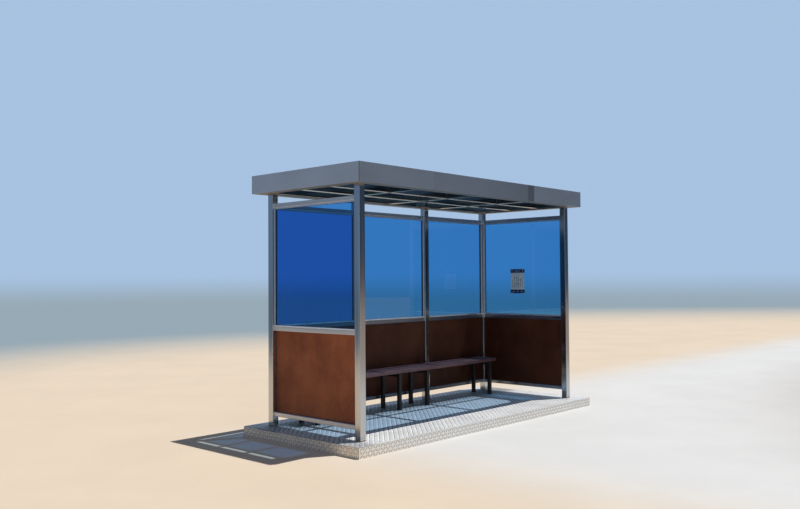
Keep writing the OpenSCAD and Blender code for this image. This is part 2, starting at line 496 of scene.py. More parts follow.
class Nodes:
    """Adds nodes to one shader tree, with their inputs given by name or number."""

    def __init__(self, tree: bpy.types.NodeTree) -> None:
        """Keeps the tree that the nodes go into."""
        self.tree = tree

    def add(self, kind: str, inputs: dict | None = None, **settings: object) -> bpy.types.Node:
        """Adds one node.

        Args:
            kind: The node's type, without the leading ShaderNode.
            inputs: A socket to link or a value to set, by the input's name or number.
            **settings: Properties of the node.

        Returns:
            The new node.
        """
        node = self.tree.nodes.new("ShaderNode" + kind)
        for key, value in settings.items():
            setattr(node, key, value)
        for key, value in (inputs or {}).items():
            socket = node.inputs[key]
            if isinstance(value, Socket):
                self.tree.links.new(value, socket)
            elif socket.type == "RGBA":
                socket.default_value = (*value, 1.0)
            else:
                socket.default_value = value
        return node

    def math(self, operation: str, a: object, b: object = 0.0) -> Socket:
        """The result of one Math node on two sockets or numbers."""
        return self.add("Math", {0: a, 1: b}, operation=operation).outputs[0]

    def plus(self, a: object, b: object) -> Socket:
        """The sum of two sockets or numbers."""
        return self.math("ADD", a, b)

    def minus(self, a: object, b: object) -> Socket:
        """The difference of two sockets or numbers."""
        return self.math("SUBTRACT", a, b)

    def times(self, a: object, b: object) -> Socket:
        """The product of two sockets or numbers."""
        return self.math("MULTIPLY", a, b)

    def most(self, a: object, b: object) -> Socket:
        """The larger of two sockets or numbers."""
        return self.math("MAXIMUM", a, b)

    def ramp(self, value: object, start: float, end: float, smooth: bool = True) -> Socket:
        """A value that goes from 0 at start to 1 at end and stays within them.

        Args:
            value: What is measured against start and end.
            start: Where the result is 0.
            end: Where the result is 1, which may be below start.
            smooth: Whether it eases in and out.

        Returns:
            The result's socket.
        """
        style = "SMOOTHSTEP" if smooth else "LINEAR"
        inputs = {"Value": value, "From Min": start, "From Max": end}
        return self.add("MapRange", inputs, interpolation_type=style).outputs["Result"]

    def mix(self, share: object, a: object, b: object) -> Socket:
        """A colour that goes from a to b as share goes from 0 to 1."""
        return self.add("Mix", {0: share, 6: a, 7: b}, data_type="RGBA").outputs[2]

    def blend(self, share: object, a: object, b: object) -> Socket:
        """A number that goes from a to b as share goes from 0 to 1."""
        return self.add("Mix", {0: share, 2: a, 3: b}, data_type="FLOAT").outputs[0]

    def noise(self, vector: object, scale: object, detail: float, rough: float = 0.6) -> Socket:
        """The value of a noise texture."""
        inputs = {"Vector": vector, "Scale": scale, "Detail": detail, "Roughness": rough}
        return self.add("TexNoise", inputs).outputs[0]

    def stretch(self, vector: object, scale: object) -> Socket:
        """A vector or a colour multiplied part by part."""
        return self.add("VectorMath", {0: vector, 1: scale}, operation="MULTIPLY").outputs[0]

    def dim(self, colour: Socket, level: object) -> Socket:
        """A colour multiplied by one number."""
        inputs = {0: colour, "Scale": level}
        return self.add("VectorMath", inputs, operation="SCALE").outputs[0]

    def split(self, vector: object) -> list[Socket]:
        """The three numbers of a vector."""
        return list(self.add("SeparateXYZ", {0: vector}).outputs)

    def bump(self, height: object, strength: float, distance: float) -> Socket:
        """The normal that a height gives."""
        inputs = {"Height": height, "Strength": strength, "Distance": distance}
        return self.add("Bump", inputs).outputs[0]

    def principled(self, inputs: dict) -> Socket:
        """The shader of one Principled BSDF."""
        return self.add("BsdfPrincipled", inputs).outputs[0]

    def shared(self, group: bpy.types.NodeTree, inputs: dict) -> list[Socket]:
        """The results of a shared effect that is placed with its own values."""
        return list(self.add("Group", inputs, node_tree=group).outputs)


class Group(Nodes):
    """A shader node group with named inputs and number outputs."""

    def __init__(self, name: str, inputs: dict[str, str], outputs: Iterable[str]) -> None:
        """Makes the group and its sockets.

        Args:
            name: The group's name.
            inputs: The type of each input socket, by its name.
            outputs: The names of the number outputs.
        """
        super().__init__(bpy.data.node_groups.new(name, "ShaderNodeTree"))
        sockets = self.tree.interface
        for label, kind in inputs.items():
            sockets.new_socket(label, in_out="INPUT", socket_type="NodeSocket" + kind)
        for label in outputs:
            sockets.new_socket(label, in_out="OUTPUT", socket_type="NodeSocketFloat")
        self.source = self.tree.nodes.new("NodeGroupInput")
        self.result = self.tree.nodes.new("NodeGroupOutput")

    def given(self, label: str) -> Socket:
        """The named input."""
        return self.source.outputs[label]

    def put(self, label: str, value: Socket) -> None:
        """Links a value to the named output."""
        self.tree.links.new(value, self.result.inputs[label])


class SharedEffects:
    """The shader node groups that more than one finish uses."""

    def __init__(self) -> None:
        """Builds every group once."""
        self.grain = self._brushed_grain()
        self.rust = self._rust_bloom()
        self.dust = self._ground_dust()
        self.mottle = self._mottle()

    @staticmethod
    def _brushed_grain() -> bpy.types.NodeTree:
        """Long fine lines and broader bands along one axis.

        Returns:
            The node group.
        """
        inputs = {"Vector": "Vector", "Fine": "Vector", "Broad": "Vector"}
        group = Group("brushed_grain", inputs, ("Lines", "Bands"))
        for label, scale, detail in (("Lines", "Fine", 4.0), ("Bands", "Broad", 2.0)):
            stretched = group.stretch(group.given("Vector"), group.given(scale))
            group.put(label, group.ramp(group.noise(stretched, 1.0, detail), 0.3, 0.7))
        return group.tree

    @staticmethod
    def _rust_bloom() -> bpy.types.NodeTree:
        """A ragged stain that thins out with the distance from a weld.

        Returns:
            The node group.
        """
        inputs = {"Vector": "Vector", "Distance": "Float", "Reach": "Float"}
        group = Group("rust_bloom", inputs, ("Mask", "Halo"))
        share = group.math("DIVIDE", group.given("Distance"), group.given("Reach"))
        near = group.minus(1.0, group.ramp(share, 0.0, 1.0))
        drawn_out = group.stretch(group.given("Vector"), (1.0, 1.0, 0.55))
        total = group.plus(near, group.noise(drawn_out, 60.0, 5.0))
        group.put("Mask", group.ramp(total, 1.18, 1.5))
        group.put("Halo", group.ramp(total, 0.8, 1.5))
        return group.tree

    @staticmethod
    def _ground_dust() -> bpy.types.NodeTree:
        """Blown dust and splashes that thin out with height.

        Returns:
            The node group.
        """
        group = Group("ground_dust", {"Vector": "Vector", "Height": "Float"}, ("Mask",))
        z = group.split(group.given("Vector"))[2]
        near = group.minus(1.0, group.math("DIVIDE", z, group.given("Height")))
        drawn_out = group.stretch(group.given("Vector"), (1.0, 1.0, 0.3))
        total = group.plus(near, group.noise(drawn_out, 14.0, 6.0))
        group.put("Mask", group.ramp(total, 0.7, 1.5))
        return group.tree

    @staticmethod
    def _mottle() -> bpy.types.NodeTree:
        """Soft clouds and finer specks of one size.

        Returns:
            The node group.
        """
        group = Group("mottle", {"Vector": "Vector", "Scale": "Float"}, ("Clouds", "Specks"))
        place, scale = group.given("Vector"), group.given("Scale")
        group.put("Clouds", group.ramp(group.noise(place, scale, 5.0, 0.65), 0.32, 0.68))
        specks = group.noise(place, group.times(scale, 23.0), 3.0, 0.5)
        group.put("Specks", group.ramp(specks, 0.35, 0.7))
        return group.tree


class Paint(Nodes):
    """The node maker of one material, which can place the shared effects."""

    def __init__(self, tree: bpy.types.NodeTree, effects: SharedEffects) -> None:
        """Keeps the tree and the shared effects."""
        super().__init__(tree)
        self.effects = effects

    @cached_property
    def place(self) -> Socket:
        """The object coordinates, which are metres in the shelter's own frame."""
        return self.add("TexCoord").outputs["Object"]

    def grain(self, place: Socket, fine: object, broad: object) -> list[Socket]:
        """The fine lines and the broad bands of a grain, from a noise scale for each axis."""
        return self.shared(self.effects.grain, {"Vector": place, "Fine": fine, "Broad": broad})

    def mottle(self, scale: float) -> list[Socket]:
        """Soft clouds of one scale and the finer specks in them."""
        return self.shared(self.effects.mottle, {"Vector": self.place, "Scale": scale})

    def dust(self, height: float) -> Socket:
        """How thick dust lies, up to about a height above the ground."""
        return self.shared(self.effects.dust, {"Vector": self.place, "Height": height})[0]

    def rust(self, distance: object, reach: float) -> list[Socket]:
        """A rust stain and the halo round it, within reach of distance 0."""
        inputs = {"Vector": self.place, "Distance": distance, "Reach": reach}
        return self.shared(self.effects.rust, inputs)

    def streaks(self, scale: Point, detail: float) -> Socket:
        """A noise that is drawn out along one axis by its scale for each axis."""
        return self.noise(self.stretch(self.place, scale), 1.0, detail)

    def tones(self, share: Socket, colour: Colour, levels: Span) -> Socket:
        """A colour that goes from one level of itself to another as share goes from 0 to 1."""
        return self.mix(share, shade(colour, levels[0]), shade(colour, levels[1]))


# Finishes

RUST: Colour = (0.22, 0.085, 0.03)
RUST_HALO: Colour = (0.5, 0.33, 0.2)
DUST: Colour = (0.50, 0.41, 0.30)


@dataclass(frozen=True)
class Finish:
    """What a surface is made of, by name. Each kind of finish gives its own shader.

    In every kind, scales are those of noise textures, shares are how much of one layer goes
    into another, and a relief is the strength and the depth of its bumps.
    """

    name: str

    def surface(self, nodes: Paint) -> Socket:
        """Makes the shader, which each kind of finish does in its own way."""
        raise NotImplementedError

    def build(self, effects: SharedEffects) -> bpy.types.Material:
        """Makes the material.

        Args:
            effects: The shared node groups.

        Returns:
            The material.
        """
        material = bpy.data.materials.new(self.name)
        material.use_nodes = True
        material.node_tree.nodes.clear()
        nodes = Paint(material.node_tree, effects)
        nodes.add("OutputMaterial", {"Surface": self.surface(nodes)})
        return material


@dataclass(frozen=True)
class StainlessTube(Finish):
    """Polished stainless section: grain along its length, rust where it is welded.

    Between the two heights of its band, if they are given, it is darkened by painted shade: the
    shade on the sides of the roof's beams and bars. The scales of its fine lines and broad bands are
    given across and along the grain.
    """

    grain: Axis
    colour: Colour = (0.53, 0.53, 0.53)
    roughness: float = 0.15
    tones: Span = (0.86, 1.08)
    stain_levels: tuple[float, ...] = ()
    stain_reach: float = 30 * MM
    painted_shade_band: tuple[float, ...] = ()
    band_shade_level: float = 0.42
    band_shade_edge: float = 3 * MM
    fine: Span = (420.0, 2.5)
    broad: Span = (38.0, 0.7)
    line_share: float = 0.25
    halo_tint: float = 0.2
    halo_share: float = 0.5
    rust_share: float = 0.75
    rust_dullness: float = 0.7
    rust_roughness: float = 0.7
    spread: float = 0.04
    relief: Span = (0.04, 0.6 * MM)

    def _scales(self, scale: Span) -> list[float]:
        """A noise scale for each axis."""
        return [scale[axis is self.grain] for axis in Axis]

    def _stain_distance(self, nodes: Paint) -> object:
        """How far a point is along the tube from the nearest stained joint.

        Args:
            nodes: The material's node maker.

        Returns:
            The distance in metres, far off where there is no such joint.
        """
        along = nodes.split(nodes.place)[self.grain.value]
        nearest: object = 9.0
        for level in self.stain_levels:
            gap = nodes.math("ABSOLUTE", nodes.minus(along, level))
            nearest = nodes.math("MINIMUM", gap, nearest)
        return nearest

    def _with_band_shade(self, nodes: Paint, colour: Socket) -> Socket:
        """Darkens a band of height with painted shade.

        Args:
            nodes: The material's node maker.
            colour: The colour without painted shade.

        Returns:
            The colour's socket.
        """
        if not self.painted_shade_band:
            return colour
        z = nodes.split(nodes.place)[2]
        low, high = self.painted_shade_band
        above = nodes.ramp(z, low, low + self.band_shade_edge)
        mask = nodes.times(above, nodes.ramp(z, high, high - self.band_shade_edge))
        # Painted shade: darkens the sides of the beams and bars above their undersides.
        return nodes.dim(colour, nodes.blend(mask, 1.0, self.band_shade_level))

    def surface(self, nodes: Paint) -> Socket:
        """Makes the shader of this finish.

        Args:
            nodes: The material's node maker.

        Returns:
            The shader's socket.
        """
        lines, bands = nodes.grain(nodes.place, self._scales(self.fine), self._scales(self.broad))
        share = nodes.blend(self.line_share, bands, lines)
        colour = nodes.tones(share, self.colour, self.tones)
        mask, halo = nodes.rust(self._stain_distance(nodes), self.stain_reach)
        clean, stain = 1 - self.halo_tint, self.halo_tint
        tinted = tuple(clean * c + stain * r for c, r in zip(self.colour, RUST_HALO))
        colour = nodes.mix(nodes.times(halo, self.halo_share), colour, tinted)
        colour = nodes.mix(nodes.times(mask, self.rust_share), colour, RUST)
        rough = nodes.blend(bands, self.roughness - self.spread, self.roughness + self.spread)
        return nodes.principled(
            {
                "Base Color": self._with_band_shade(nodes, colour),
                "Metallic": nodes.minus(1.0, nodes.times(mask, self.rust_dullness)),
                "Roughness": nodes.blend(mask, rough, self.rust_roughness),
                "Normal": nodes.bump(bands, *self.relief),
            }
        )


@dataclass(frozen=True)
class BrushedFascia(Finish):
    """Thin brushed sheet, dulled by salt: each length has its own tone and a faint wave.

    The corner is the fascia's outer corner at its lower edge, where its bottom fold starts.
    """

    colour: Colour
    corner: Vector
    metallic: float = 0.85
    roughness: float = 0.36
    tones: Span = (0.93, 1.05)
    fine: Point = (6.0, 6.0, 700.0)
    broad: Point = (1.4, 1.4, 3.0)
    drips: Point = (42.0, 42.0, 1.2)
    waves: Point = (2.1, 2.1, 3.0)
    line_share: float = 0.3
    line_relief: float = 0.01
    drip_share: float = 0.25
    drip_roughness: float = 0.05
    specular: float = 0.2
    spread: float = 0.03
    relief: Span = (0.35, 6 * MM)
    joint: float = 0.875
    middle_tones: Span = (0.92, 0.78)
    middle_fall: Span = (-0.2, 0.72)
    dark_fall: Span = (0.735, 0.765)
    dark_tone: float = 0.5
    fold_edge: float = 3 * MM
    fold_painted_shade: float = 0.34
    fold_metallic: float = 0.3
    fold_roughness: float = 0.7

    def _sheet_tone(self, nodes: Paint) -> Socket:
        """How bright a length of fascia is: the middle one darkens towards its right-hand joint.

        Args:
            nodes: The material's node maker.

        Returns:
            A factor near or below 1.
        """
        x = nodes.split(nodes.place)[0]
        middle = nodes.blend(nodes.ramp(x, *self.middle_fall), *self.middle_tones)
        middle = nodes.blend(nodes.ramp(x, *self.dark_fall), middle, self.dark_tone)
        side = nodes.math("ABSOLUTE", x)
        inner = nodes.ramp(side, self.joint + MM, self.joint - MM, False)
        return nodes.blend(inner, 1.0, middle)

    def _fold(self, nodes: Paint) -> Socket:
        """A mask of the fold under the fascia, which is darkened as painted shade.

        Args:
            nodes: The material's node maker.

        Returns:
            1 on the fold, 0 elsewhere.
        """
        x, y, z = nodes.split(nodes.place)
        top = self.corner.z + self.fold_edge
        mask = nodes.ramp(z, top, top - 0.5 * MM, False)
        for along, reach in ((x, self.corner.x), (y, self.corner.y)):
            distance = nodes.math("ABSOLUTE", along)
            mask = nodes.times(mask, nodes.ramp(distance, reach, reach - self.fold_edge, False))
        return mask

    def surface(self, nodes: Paint) -> Socket:
        """Makes the shader of this finish.

        Args:
            nodes: The material's node maker.

        Returns:
            The shader's socket.
        """
        lines, bands = nodes.grain(nodes.place, self.fine, self.broad)
        drips = nodes.ramp(nodes.streaks(self.drips, 4.0), 0.5, 0.78)
        share = nodes.blend(self.line_share, bands, lines)
        colour = nodes.tones(share, self.colour, self.tones)
        salted = shade(self.colour, 1.15, 0.01)
        colour = nodes.mix(nodes.times(drips, self.drip_share), colour, salted)
        fold = self._fold(nodes)
        # Painted shade: the fold under the fascia is darkened.
        tone = nodes.blend(fold, self._sheet_tone(nodes), self.fold_painted_shade)
        rough = nodes.blend(lines, self.roughness - self.spread, self.roughness + self.spread)
        rough = nodes.plus(rough, nodes.times(drips, self.drip_roughness))
        height = nodes.plus(nodes.times(lines, self.line_relief), nodes.streaks(self.waves, 1.0))
        return nodes.principled(
            {
                "Base Color": nodes.dim(colour, tone),
                "Metallic": nodes.blend(fold, self.metallic, self.fold_metallic),
                "Roughness": nodes.blend(fold, rough, self.fold_roughness),
                "Specular IOR Level": self.specular,
                "Normal": nodes.bump(height, *self.relief),
            }
        )


@dataclass(frozen=True)
class TreadMetal(Finish):
    """Bright tread plate, dusty near the ground, with painted shade under the bench and outside the
    left wall.
    """

    colour: Colour
    metallic: float = 0.15
    roughness: float = 0.55
    dust_height: float = 0.16
    dust: float = 0.06
    painted_deck_shade: float = 0.0
    tones: Span = (0.86, 1.0)
    clouds: float = 4.0
    speck_share: float = 0.4
    specular: float = 0.15
    spread: float = 0.1
    dust_roughness: float = 0.8
    relief: Span = (0.25, 0.6 * MM)
    bench_front: Span = (0.1, 0.4)
    bench_back: Span = (0.68, 0.6)
    left_edge: Span = (-1.70, -1.80)
    left_share: float = 0.6

    def _painted_shade_mask(self, nodes: Paint) -> Socket:
        """A mask of the painted shade on the deck under the bench and outside the left wall.

        Args:
            nodes: The material's node maker.

        Returns:
            1 where the painted shade is deepest, 0 on the lit deck.
        """
        x, y, _ = nodes.split(nodes.place)
        under = nodes.times(nodes.ramp(y, *self.bench_front), nodes.ramp(y, *self.bench_back))
        return nodes.most(under, nodes.times(nodes.ramp(x, *self.left_edge), self.left_share))

    def surface(self, nodes: Paint) -> Socket:
        """Makes the shader of this finish.

        Args:
            nodes: The material's node maker.

        Returns:
            The shader's socket.
        """
        clouds, specks = nodes.mottle(self.clouds)
        share = nodes.blend(self.speck_share, clouds, specks)
        colour = nodes.tones(share, self.colour, self.tones)
        dust = nodes.times(nodes.dust(self.dust_height), self.dust)
        colour = nodes.mix(dust, colour, DUST)
        # Painted shade: darkens the deck under the bench and outside the left wall.
        if self.painted_deck_shade:
            level = nodes.blend(self._painted_shade_mask(nodes), 1.0, 1.0 - self.painted_deck_shade)
            colour = nodes.dim(colour, level)
        rough = nodes.blend(clouds, self.roughness, self.roughness + self.spread)
        return nodes.principled(
            {
                "Base Color": colour,
                "Metallic": nodes.minus(self.metallic, nodes.times(dust, self.metallic)),
                "Roughness": nodes.blend(dust, rough, self.dust_roughness),
                "Specular IOR Level": self.specular,
                "Normal": nodes.bump(specks, *self.relief),
            }
        )


@dataclass(frozen=True)
class TintedSheet(Finish):
    """Clear tinted glass or plastic that lets lamp light through in its own colour.

    Rays from lamps and off other surfaces meet a clear stand-in, dimmed by let_through.
    """

    tint: Colour
    roughness: float
    let_through: float = 1.0
    refraction: float = 1.5

    def surface(self, nodes: Paint) -> Socket:
        """Makes the shader of this finish.

        Args:
            nodes: The material's node maker.

        Returns:
            The shader's socket.
        """
        solid = nodes.principled(
            {
                "Base Color": self.tint,
                "Roughness": self.roughness,
                "IOR": self.refraction,
                "Transmission Weight": 1.0,
            }
        )
        one_face = tuple(self.let_through * math.sqrt(c) for c in self.tint)
        clear = nodes.add("BsdfTransparent", {"Color": one_face}).outputs[0]
        rays = nodes.add("LightPath").outputs
        for kind in ("Is Reflection Ray", "Is Shadow Ray"):
            solid = nodes.add("MixShader", {0: rays[kind], 1: solid, 2: clear}).outputs[0]
        return solid


@dataclass(frozen=True)
class RustBrownPlate(Finish):
    """Matt rust-brown plate with soft clouds, runs and rubbed spots, with painted shade on its inner
    face.

    The planes are how far the middles of the end plates and of the back plates are from the
    shelter's own middle.
    """

    end_plane: float
    back_plane: float
    dark: Colour = (0.215, 0.062, 0.027)
    light: Colour = (0.460, 0.150, 0.066)
    inner_painted_shade: float = 0.25
    play: float = 0.2 * MM
    clouds: float = 1.7
    runs: Point = (7.0, 7.0, 1.1)
    run_share: float = 0.25
    speck_share: float = 0.12
    dust_height: float = 0.5
    dust: float = 0.06
    roughness: Span = (0.5, 0.72)
    specular: float = 0.2
    relief: Span = (0.2, 0.5 * MM)

    def _outer_face(self, nodes: Paint) -> Socket:
        """A mask of what lies outside the plates' middle planes.

        Args:
            nodes: The material's node maker.

        Returns:
            1 on the outer faces, 0 on the inner ones.
        """
        x, y, _ = nodes.split(nodes.place)
        faces = []
        for distance, plane in ((nodes.math("ABSOLUTE", x), self.end_plane), (y, self.back_plane)):
            faces.append(nodes.ramp(distance, plane - self.play, plane + self.play, False))
        return nodes.most(*faces)

    def surface(self, nodes: Paint) -> Socket:
        """Makes the shader of this finish.

        Args:
            nodes: The material's node maker.

        Returns:
            The shader's socket.
        """
        clouds, specks = nodes.mottle(self.clouds)
        runs = nodes.ramp(nodes.streaks(self.runs, 3.0), 0.35, 0.7)
        share = nodes.blend(self.run_share, clouds, runs)
        share = nodes.blend(self.speck_share, share, specks)
        colour = nodes.mix(share, self.dark, self.light)
        dust = nodes.times(nodes.dust(self.dust_height), self.dust)
        colour = nodes.mix(dust, colour, DUST)
        # Painted shade: the inner faces, inside the shelter, are darkened.
        level = nodes.blend(self._outer_face(nodes), self.inner_painted_shade, 1.0)
        return nodes.principled(
            {
                "Base Color": nodes.dim(colour, level),
                "Roughness": nodes.blend(runs, *self.roughness),
                "Specular IOR Level": self.specular,
                "Normal": nodes.bump(specks, *self.relief),
            }
        )


@dataclass(frozen=True)
class StainedWood(Finish):
    """Dark stained slats, weathered grey-purple, with grain along their length."""

    dark: Colour = (0.066, 0.033, 0.033)
    light: Colour = (0.275, 0.145, 0.158)
    fine: Point = (5.0, 320.0, 320.0)
    broad: Point = (0.9, 42.0, 42.0)
    bends: Point = (1.3, 9.0, 9.0)
    waviness: float = 30 * MM
    band_share: float = 0.5
    clouds: float = 5.0
    cloud_share: float = 0.3
    roughness: Span = (0.5, 0.34)
    specular: float = 0.35
    coat: Span = (0.05, 0.2)
    relief: Span = (0.35, 0.8 * MM)

    def surface(self, nodes: Paint) -> Socket:
        """Makes the shader of this finish.

        Args:
            nodes: The material's node maker.

        Returns:
            The shader's socket.
        """
        x, y, z = nodes.split(nodes.place)
        wavy = nodes.plus(y, nodes.times(nodes.streaks(self.bends, 2.0), self.waviness))
        grown = nodes.add("CombineXYZ", {0: x, 1: wavy, 2: z}).outputs[0]
        lines, bands = nodes.grain(grown, self.fine, self.broad)
        share = nodes.blend(self.band_share, lines, bands)
        share = nodes.blend(self.cloud_share, share, nodes.mottle(self.clouds)[0])
        coat, coat_roughness = self.coat
        return nodes.principled(
            {
                "Base Color": nodes.mix(share, self.dark, self.light),
                "Roughness": nodes.blend(lines, *self.roughness),
                "Specular IOR Level": self.specular,
                "Coat Weight": coat,
                "Coat Roughness": coat_roughness,
                "Normal": nodes.bump(lines, *self.relief),
            }
        )


@dataclass(frozen=True)
class PlainFinish(Finish):
    """A finish of one tone with faint clouds and specks: paint, rubber, putty or paper."""

    colour: Colour
    roughness: float
    metallic: float = 0.0
    unevenness: float = 0.2
    bump: float = 0.15
    bump_depth: float = 0.5 * MM
    clouds: float = 7.0
    speck_share: float = 0.4
    spread: float = 0.12

    def surface(self, nodes: Paint) -> Socket:
        """Makes the shader of this finish.

        Args:
            nodes: The material's node maker.

        Returns:
            The shader's socket.
        """
        clouds, specks = nodes.mottle(self.clouds)
        share = nodes.blend(self.speck_share, clouds, specks)
        levels = (1 - self.unevenness, 1 + self.unevenness)
        return nodes.principled(
            {
                "Base Color": nodes.tones(share, self.colour, levels),
                "Metallic": self.metallic,
                "Roughness": nodes.blend(clouds, self.roughness, self.roughness + self.spread),
                "Normal": nodes.bump(specks, self.bump, self.bump_depth),
            }
        )


@dataclass(frozen=True)
class ChannelSteel(Finish):
    """Thin channel round the panes, with a painted highlight on its bottom member.

    Its metallic and roughness values are for the plain members and for the bottom member with the
    painted highlight.
    """

    painted_highlight_below: float
    colour: Colour = (0.60, 0.67, 0.78)
    metallic: Span = (0.75, 0.95)
    roughness: Span = (0.25, 0.55)
    clouds: float = 7.0
    spread: float = 0.02

    def surface(self, nodes: Paint) -> Socket:
        """Makes the shader of this finish.

        Args:
            nodes: The material's node maker.

        Returns:
            The shader's socket.
        """
        z = nodes.split(nodes.place)[2]
        # Painted highlight: the bottom member turns white, less metallic and rougher.
        low = nodes.ramp(z, self.painted_highlight_below + MM, self.painted_highlight_below)
        plain, bright = self.roughness
        rough = nodes.blend(nodes.mottle(self.clouds)[0], plain, plain + self.spread)
        return nodes.principled(
            {
                "Base Color": nodes.mix(low, self.colour, WHITE),
                "Metallic": nodes.blend(low, *self.metallic),
                "Roughness": nodes.blend(low, rough, bright),
            }
        )


@dataclass(frozen=True)
class PaleGround(Finish):
    """Pale floor that has its own tones in front, behind and aside, and that ends in haze."""

    front: Colour = (0.80, 0.80, 0.79)
    behind: Colour = (0.82, 0.68, 0.52)
    aside: Colour = (0.42, 0.34, 0.29)
    behind_from: Span = (-0.2, 1.6)
    left_from: Span = (-0.6, -2.6)
    right_from: Span = (2.5, 11.0)
    front_from: Span = (-0.5, -4.5)
    left_reach: float = 1.3
    right_reach: float = 0.35
    farther_from: Span = (-3.0, 7.0)
    farther: float = 0.5
    fade: Span = (8.0, 18.0)
    clouds: float = 0.9
    grit: float = 60.0
    grit_share: float = 0.4
    unevenness: float = 0.07
    roughness: float = 0.9

    def _tone(self, nodes: Paint) -> Socket:
        """The colour of the clean ground.

        Args:
            nodes: The material's node maker.

        Returns:
            The colour's socket.
        """
        x, y, _ = nodes.split(nodes.place)
        beyond = nodes.most(nodes.ramp(y, *self.behind_from), nodes.ramp(x, *self.left_from))
        tone = nodes.mix(beyond, self.front, self.behind)
        aside = nodes.ramp(nodes.minus(x, y), *self.right_from)
        aside = nodes.times(aside, nodes.ramp(y, *self.front_from))
        return nodes.mix(aside, tone, self.aside)

    def _haze(self, nodes: Paint) -> Socket:
        """How far the ground has gone into the haze, sooner to the left than to the right.

        Args:
            nodes: The material's node maker.

        Returns:
            0 near the shelter, 1 where only the haze is left.
        """
        x, y, _ = nodes.split(nodes.place)
        right = nodes.times(nodes.minus(x, y), math.sqrt(0.5))
        deep = nodes.times(nodes.plus(x, y), math.sqrt(0.5))
        sides = (nodes.times(right, reach) for reach in (self.right_reach, self.left_reach))
        across = nodes.math("MINIMUM", *sides)
        reach = nodes.add("CombineXYZ", {0: across, 1: deep}).outputs[0]
        distance = nodes.add("VectorMath", {0: reach}, operation="LENGTH").outputs["Value"]
        level = nodes.blend(nodes.ramp(right, *self.farther_from), 1.0, self.farther)
        return nodes.ramp(nodes.times(distance, level), *self.fade)

    def surface(self, nodes: Paint) -> Socket:
        """Makes the shader of this finish.

        Args:
            nodes: The material's node maker.

        Returns:
            The shader's socket.
        """
        clouds = nodes.ramp(nodes.noise(nodes.place, self.clouds, 5.0), 0.35, 0.65)
        grit = nodes.ramp(nodes.noise(nodes.place, self.grit, 3.0), 0.3, 0.7)
        tone = self._tone(nodes)
        darker = nodes.mix(self.unevenness, tone, (0.0, 0.0, 0.0))
        colour = nodes.mix(nodes.blend(self.grit_share, clouds, grit), darker, tone)
        solid = nodes.principled({"Base Color": colour, "Roughness": self.roughness})
        clear = nodes.add("BsdfTransparent").outputs[0]
        return nodes.add("MixShader", {0: self._haze(nodes), 1: solid, 2: clear}).outputs[0]


TREAD = TreadMetal("tread_metal", (0.93, 0.93, 0.915), painted_deck_shade=0.72)
# The lugs are the plate's own metal, polished; their darker colour is partly painted shade on their
# sides.
LUG = TreadMetal("tread_lugs", (0.58, 0.58, 0.58), 0.9, 0.36, painted_deck_shade=0.3)
SKIRT = TreadMetal("skirt_metal", (1.0, 0.99, 0.97), 0.9, 0.3, dust_height=0.05, dust=0.05)
# The end skirts are the same plate as the long ones; their warm tan colour is painted light,
# standing for light off the sand.
SKIRT_END_PAINTED_SAND_LIGHT = TreadMetal("skirt_end_metal", (1.0, 0.90, 0.76), 0.45, 0.5, dust_height=0.05, dust=0.05)
# The skirt lugs' darker colour is partly painted shade on their sides.
SKIRT_LUG = TreadMetal("skirt_lugs", (0.50, 0.44, 0.39), 0.7, 0.32, dust_height=0.05, dust=0.12)
# Dark steel for the fascia brackets and the roof's weld beads; on the beads, the darkness is painted
# shade.
DARK_ROOF_STEEL = PlainFinish("dark_roof_steel", (0.12, 0.12, 0.12), 0.7, metallic=0.2)
GALVANISED = PlainFinish("galvanised_steel", (0.33, 0.34, 0.35), 0.5, metallic=0.8)
RUBBER = PlainFinish("black_rubber", (0.07, 0.105, 0.16), 0.6, unevenness=0.1, bump=0.0)
WELD = PlainFinish("weld_metal", (0.26, 0.25, 0.24), 0.4, metallic=0.9, unevenness=0.35)
# The rail welds are real beads; their light colour is a painted glint.
WELD_PAINTED_GLINT = PlainFinish("weld_painted_glint", (0.85, 0.83, 0.78), 0.45, metallic=0.9, unevenness=0.15)
SCREW = PlainFinish("screw_steel", (0.45, 0.45, 0.45), 0.3, metallic=1.0)
SEALANT = PlainFinish("grey_sealant", (0.28, 0.29, 0.30), 0.55)
SEAM = PlainFinish("dark_sealant", (0.030, 0.031, 0.033), 0.5)
BLACK_PAINT = PlainFinish("black_paint", (0.026, 0.019, 0.015), 0.5, unevenness=0.3)
BLACK_CAP = PlainFinish("black_cap", (0.022, 0.018, 0.016), 0.5)
# The notice paper's own pale colour is tinted blue and brightened as painted light, standing for
# light through the blue pane behind it.
PAPER_WITH_PAINTED_LIGHT = PlainFinish("notice_paper", (0.66, 0.86, 1.0), 0.6, unevenness=0.05, bump=0.03)
NAVY = PlainFinish("notice_navy", (0.012, 0.030, 0.165), 0.5, unevenness=0.1, bump=0.03)
INK = PlainFinish("notice_ink", (0.07, 0.10, 0.20), 0.55, unevenness=0.1, bump=0.03)
TAPE = PlainFinish("notice_tape", (0.34, 0.42, 0.44), 0.3, unevenness=0.05, bump=0.05)
# The rails are one stainless steel; their four colours are painted light: the lower back rails and
# the right rails are darkened as painted shade, the top back rail is bluish as painted reflection,
# and the left rails are lighter as painted light.
RAIL_BACK_PAINTED_SHADE = StainlessTube("stainless_rail_back_painted_shade", Axis.X, (0.27, 0.28, 0.31), 0.40)
RAIL_HIGH_PAINTED_REFLECTION = StainlessTube("stainless_rail_high_painted_reflection", Axis.X, (0.54, 0.64, 0.78), 0.26)
RAIL_LEFT_PAINTED_LIGHT = StainlessTube("stainless_rail_left_painted_light", Axis.Y, (0.70, 0.67, 0.64), 0.38)
RAIL_RIGHT_PAINTED_SHADE = StainlessTube("stainless_rail_right_painted_shade", Axis.Y, (0.34, 0.36, 0.40), 0.26)
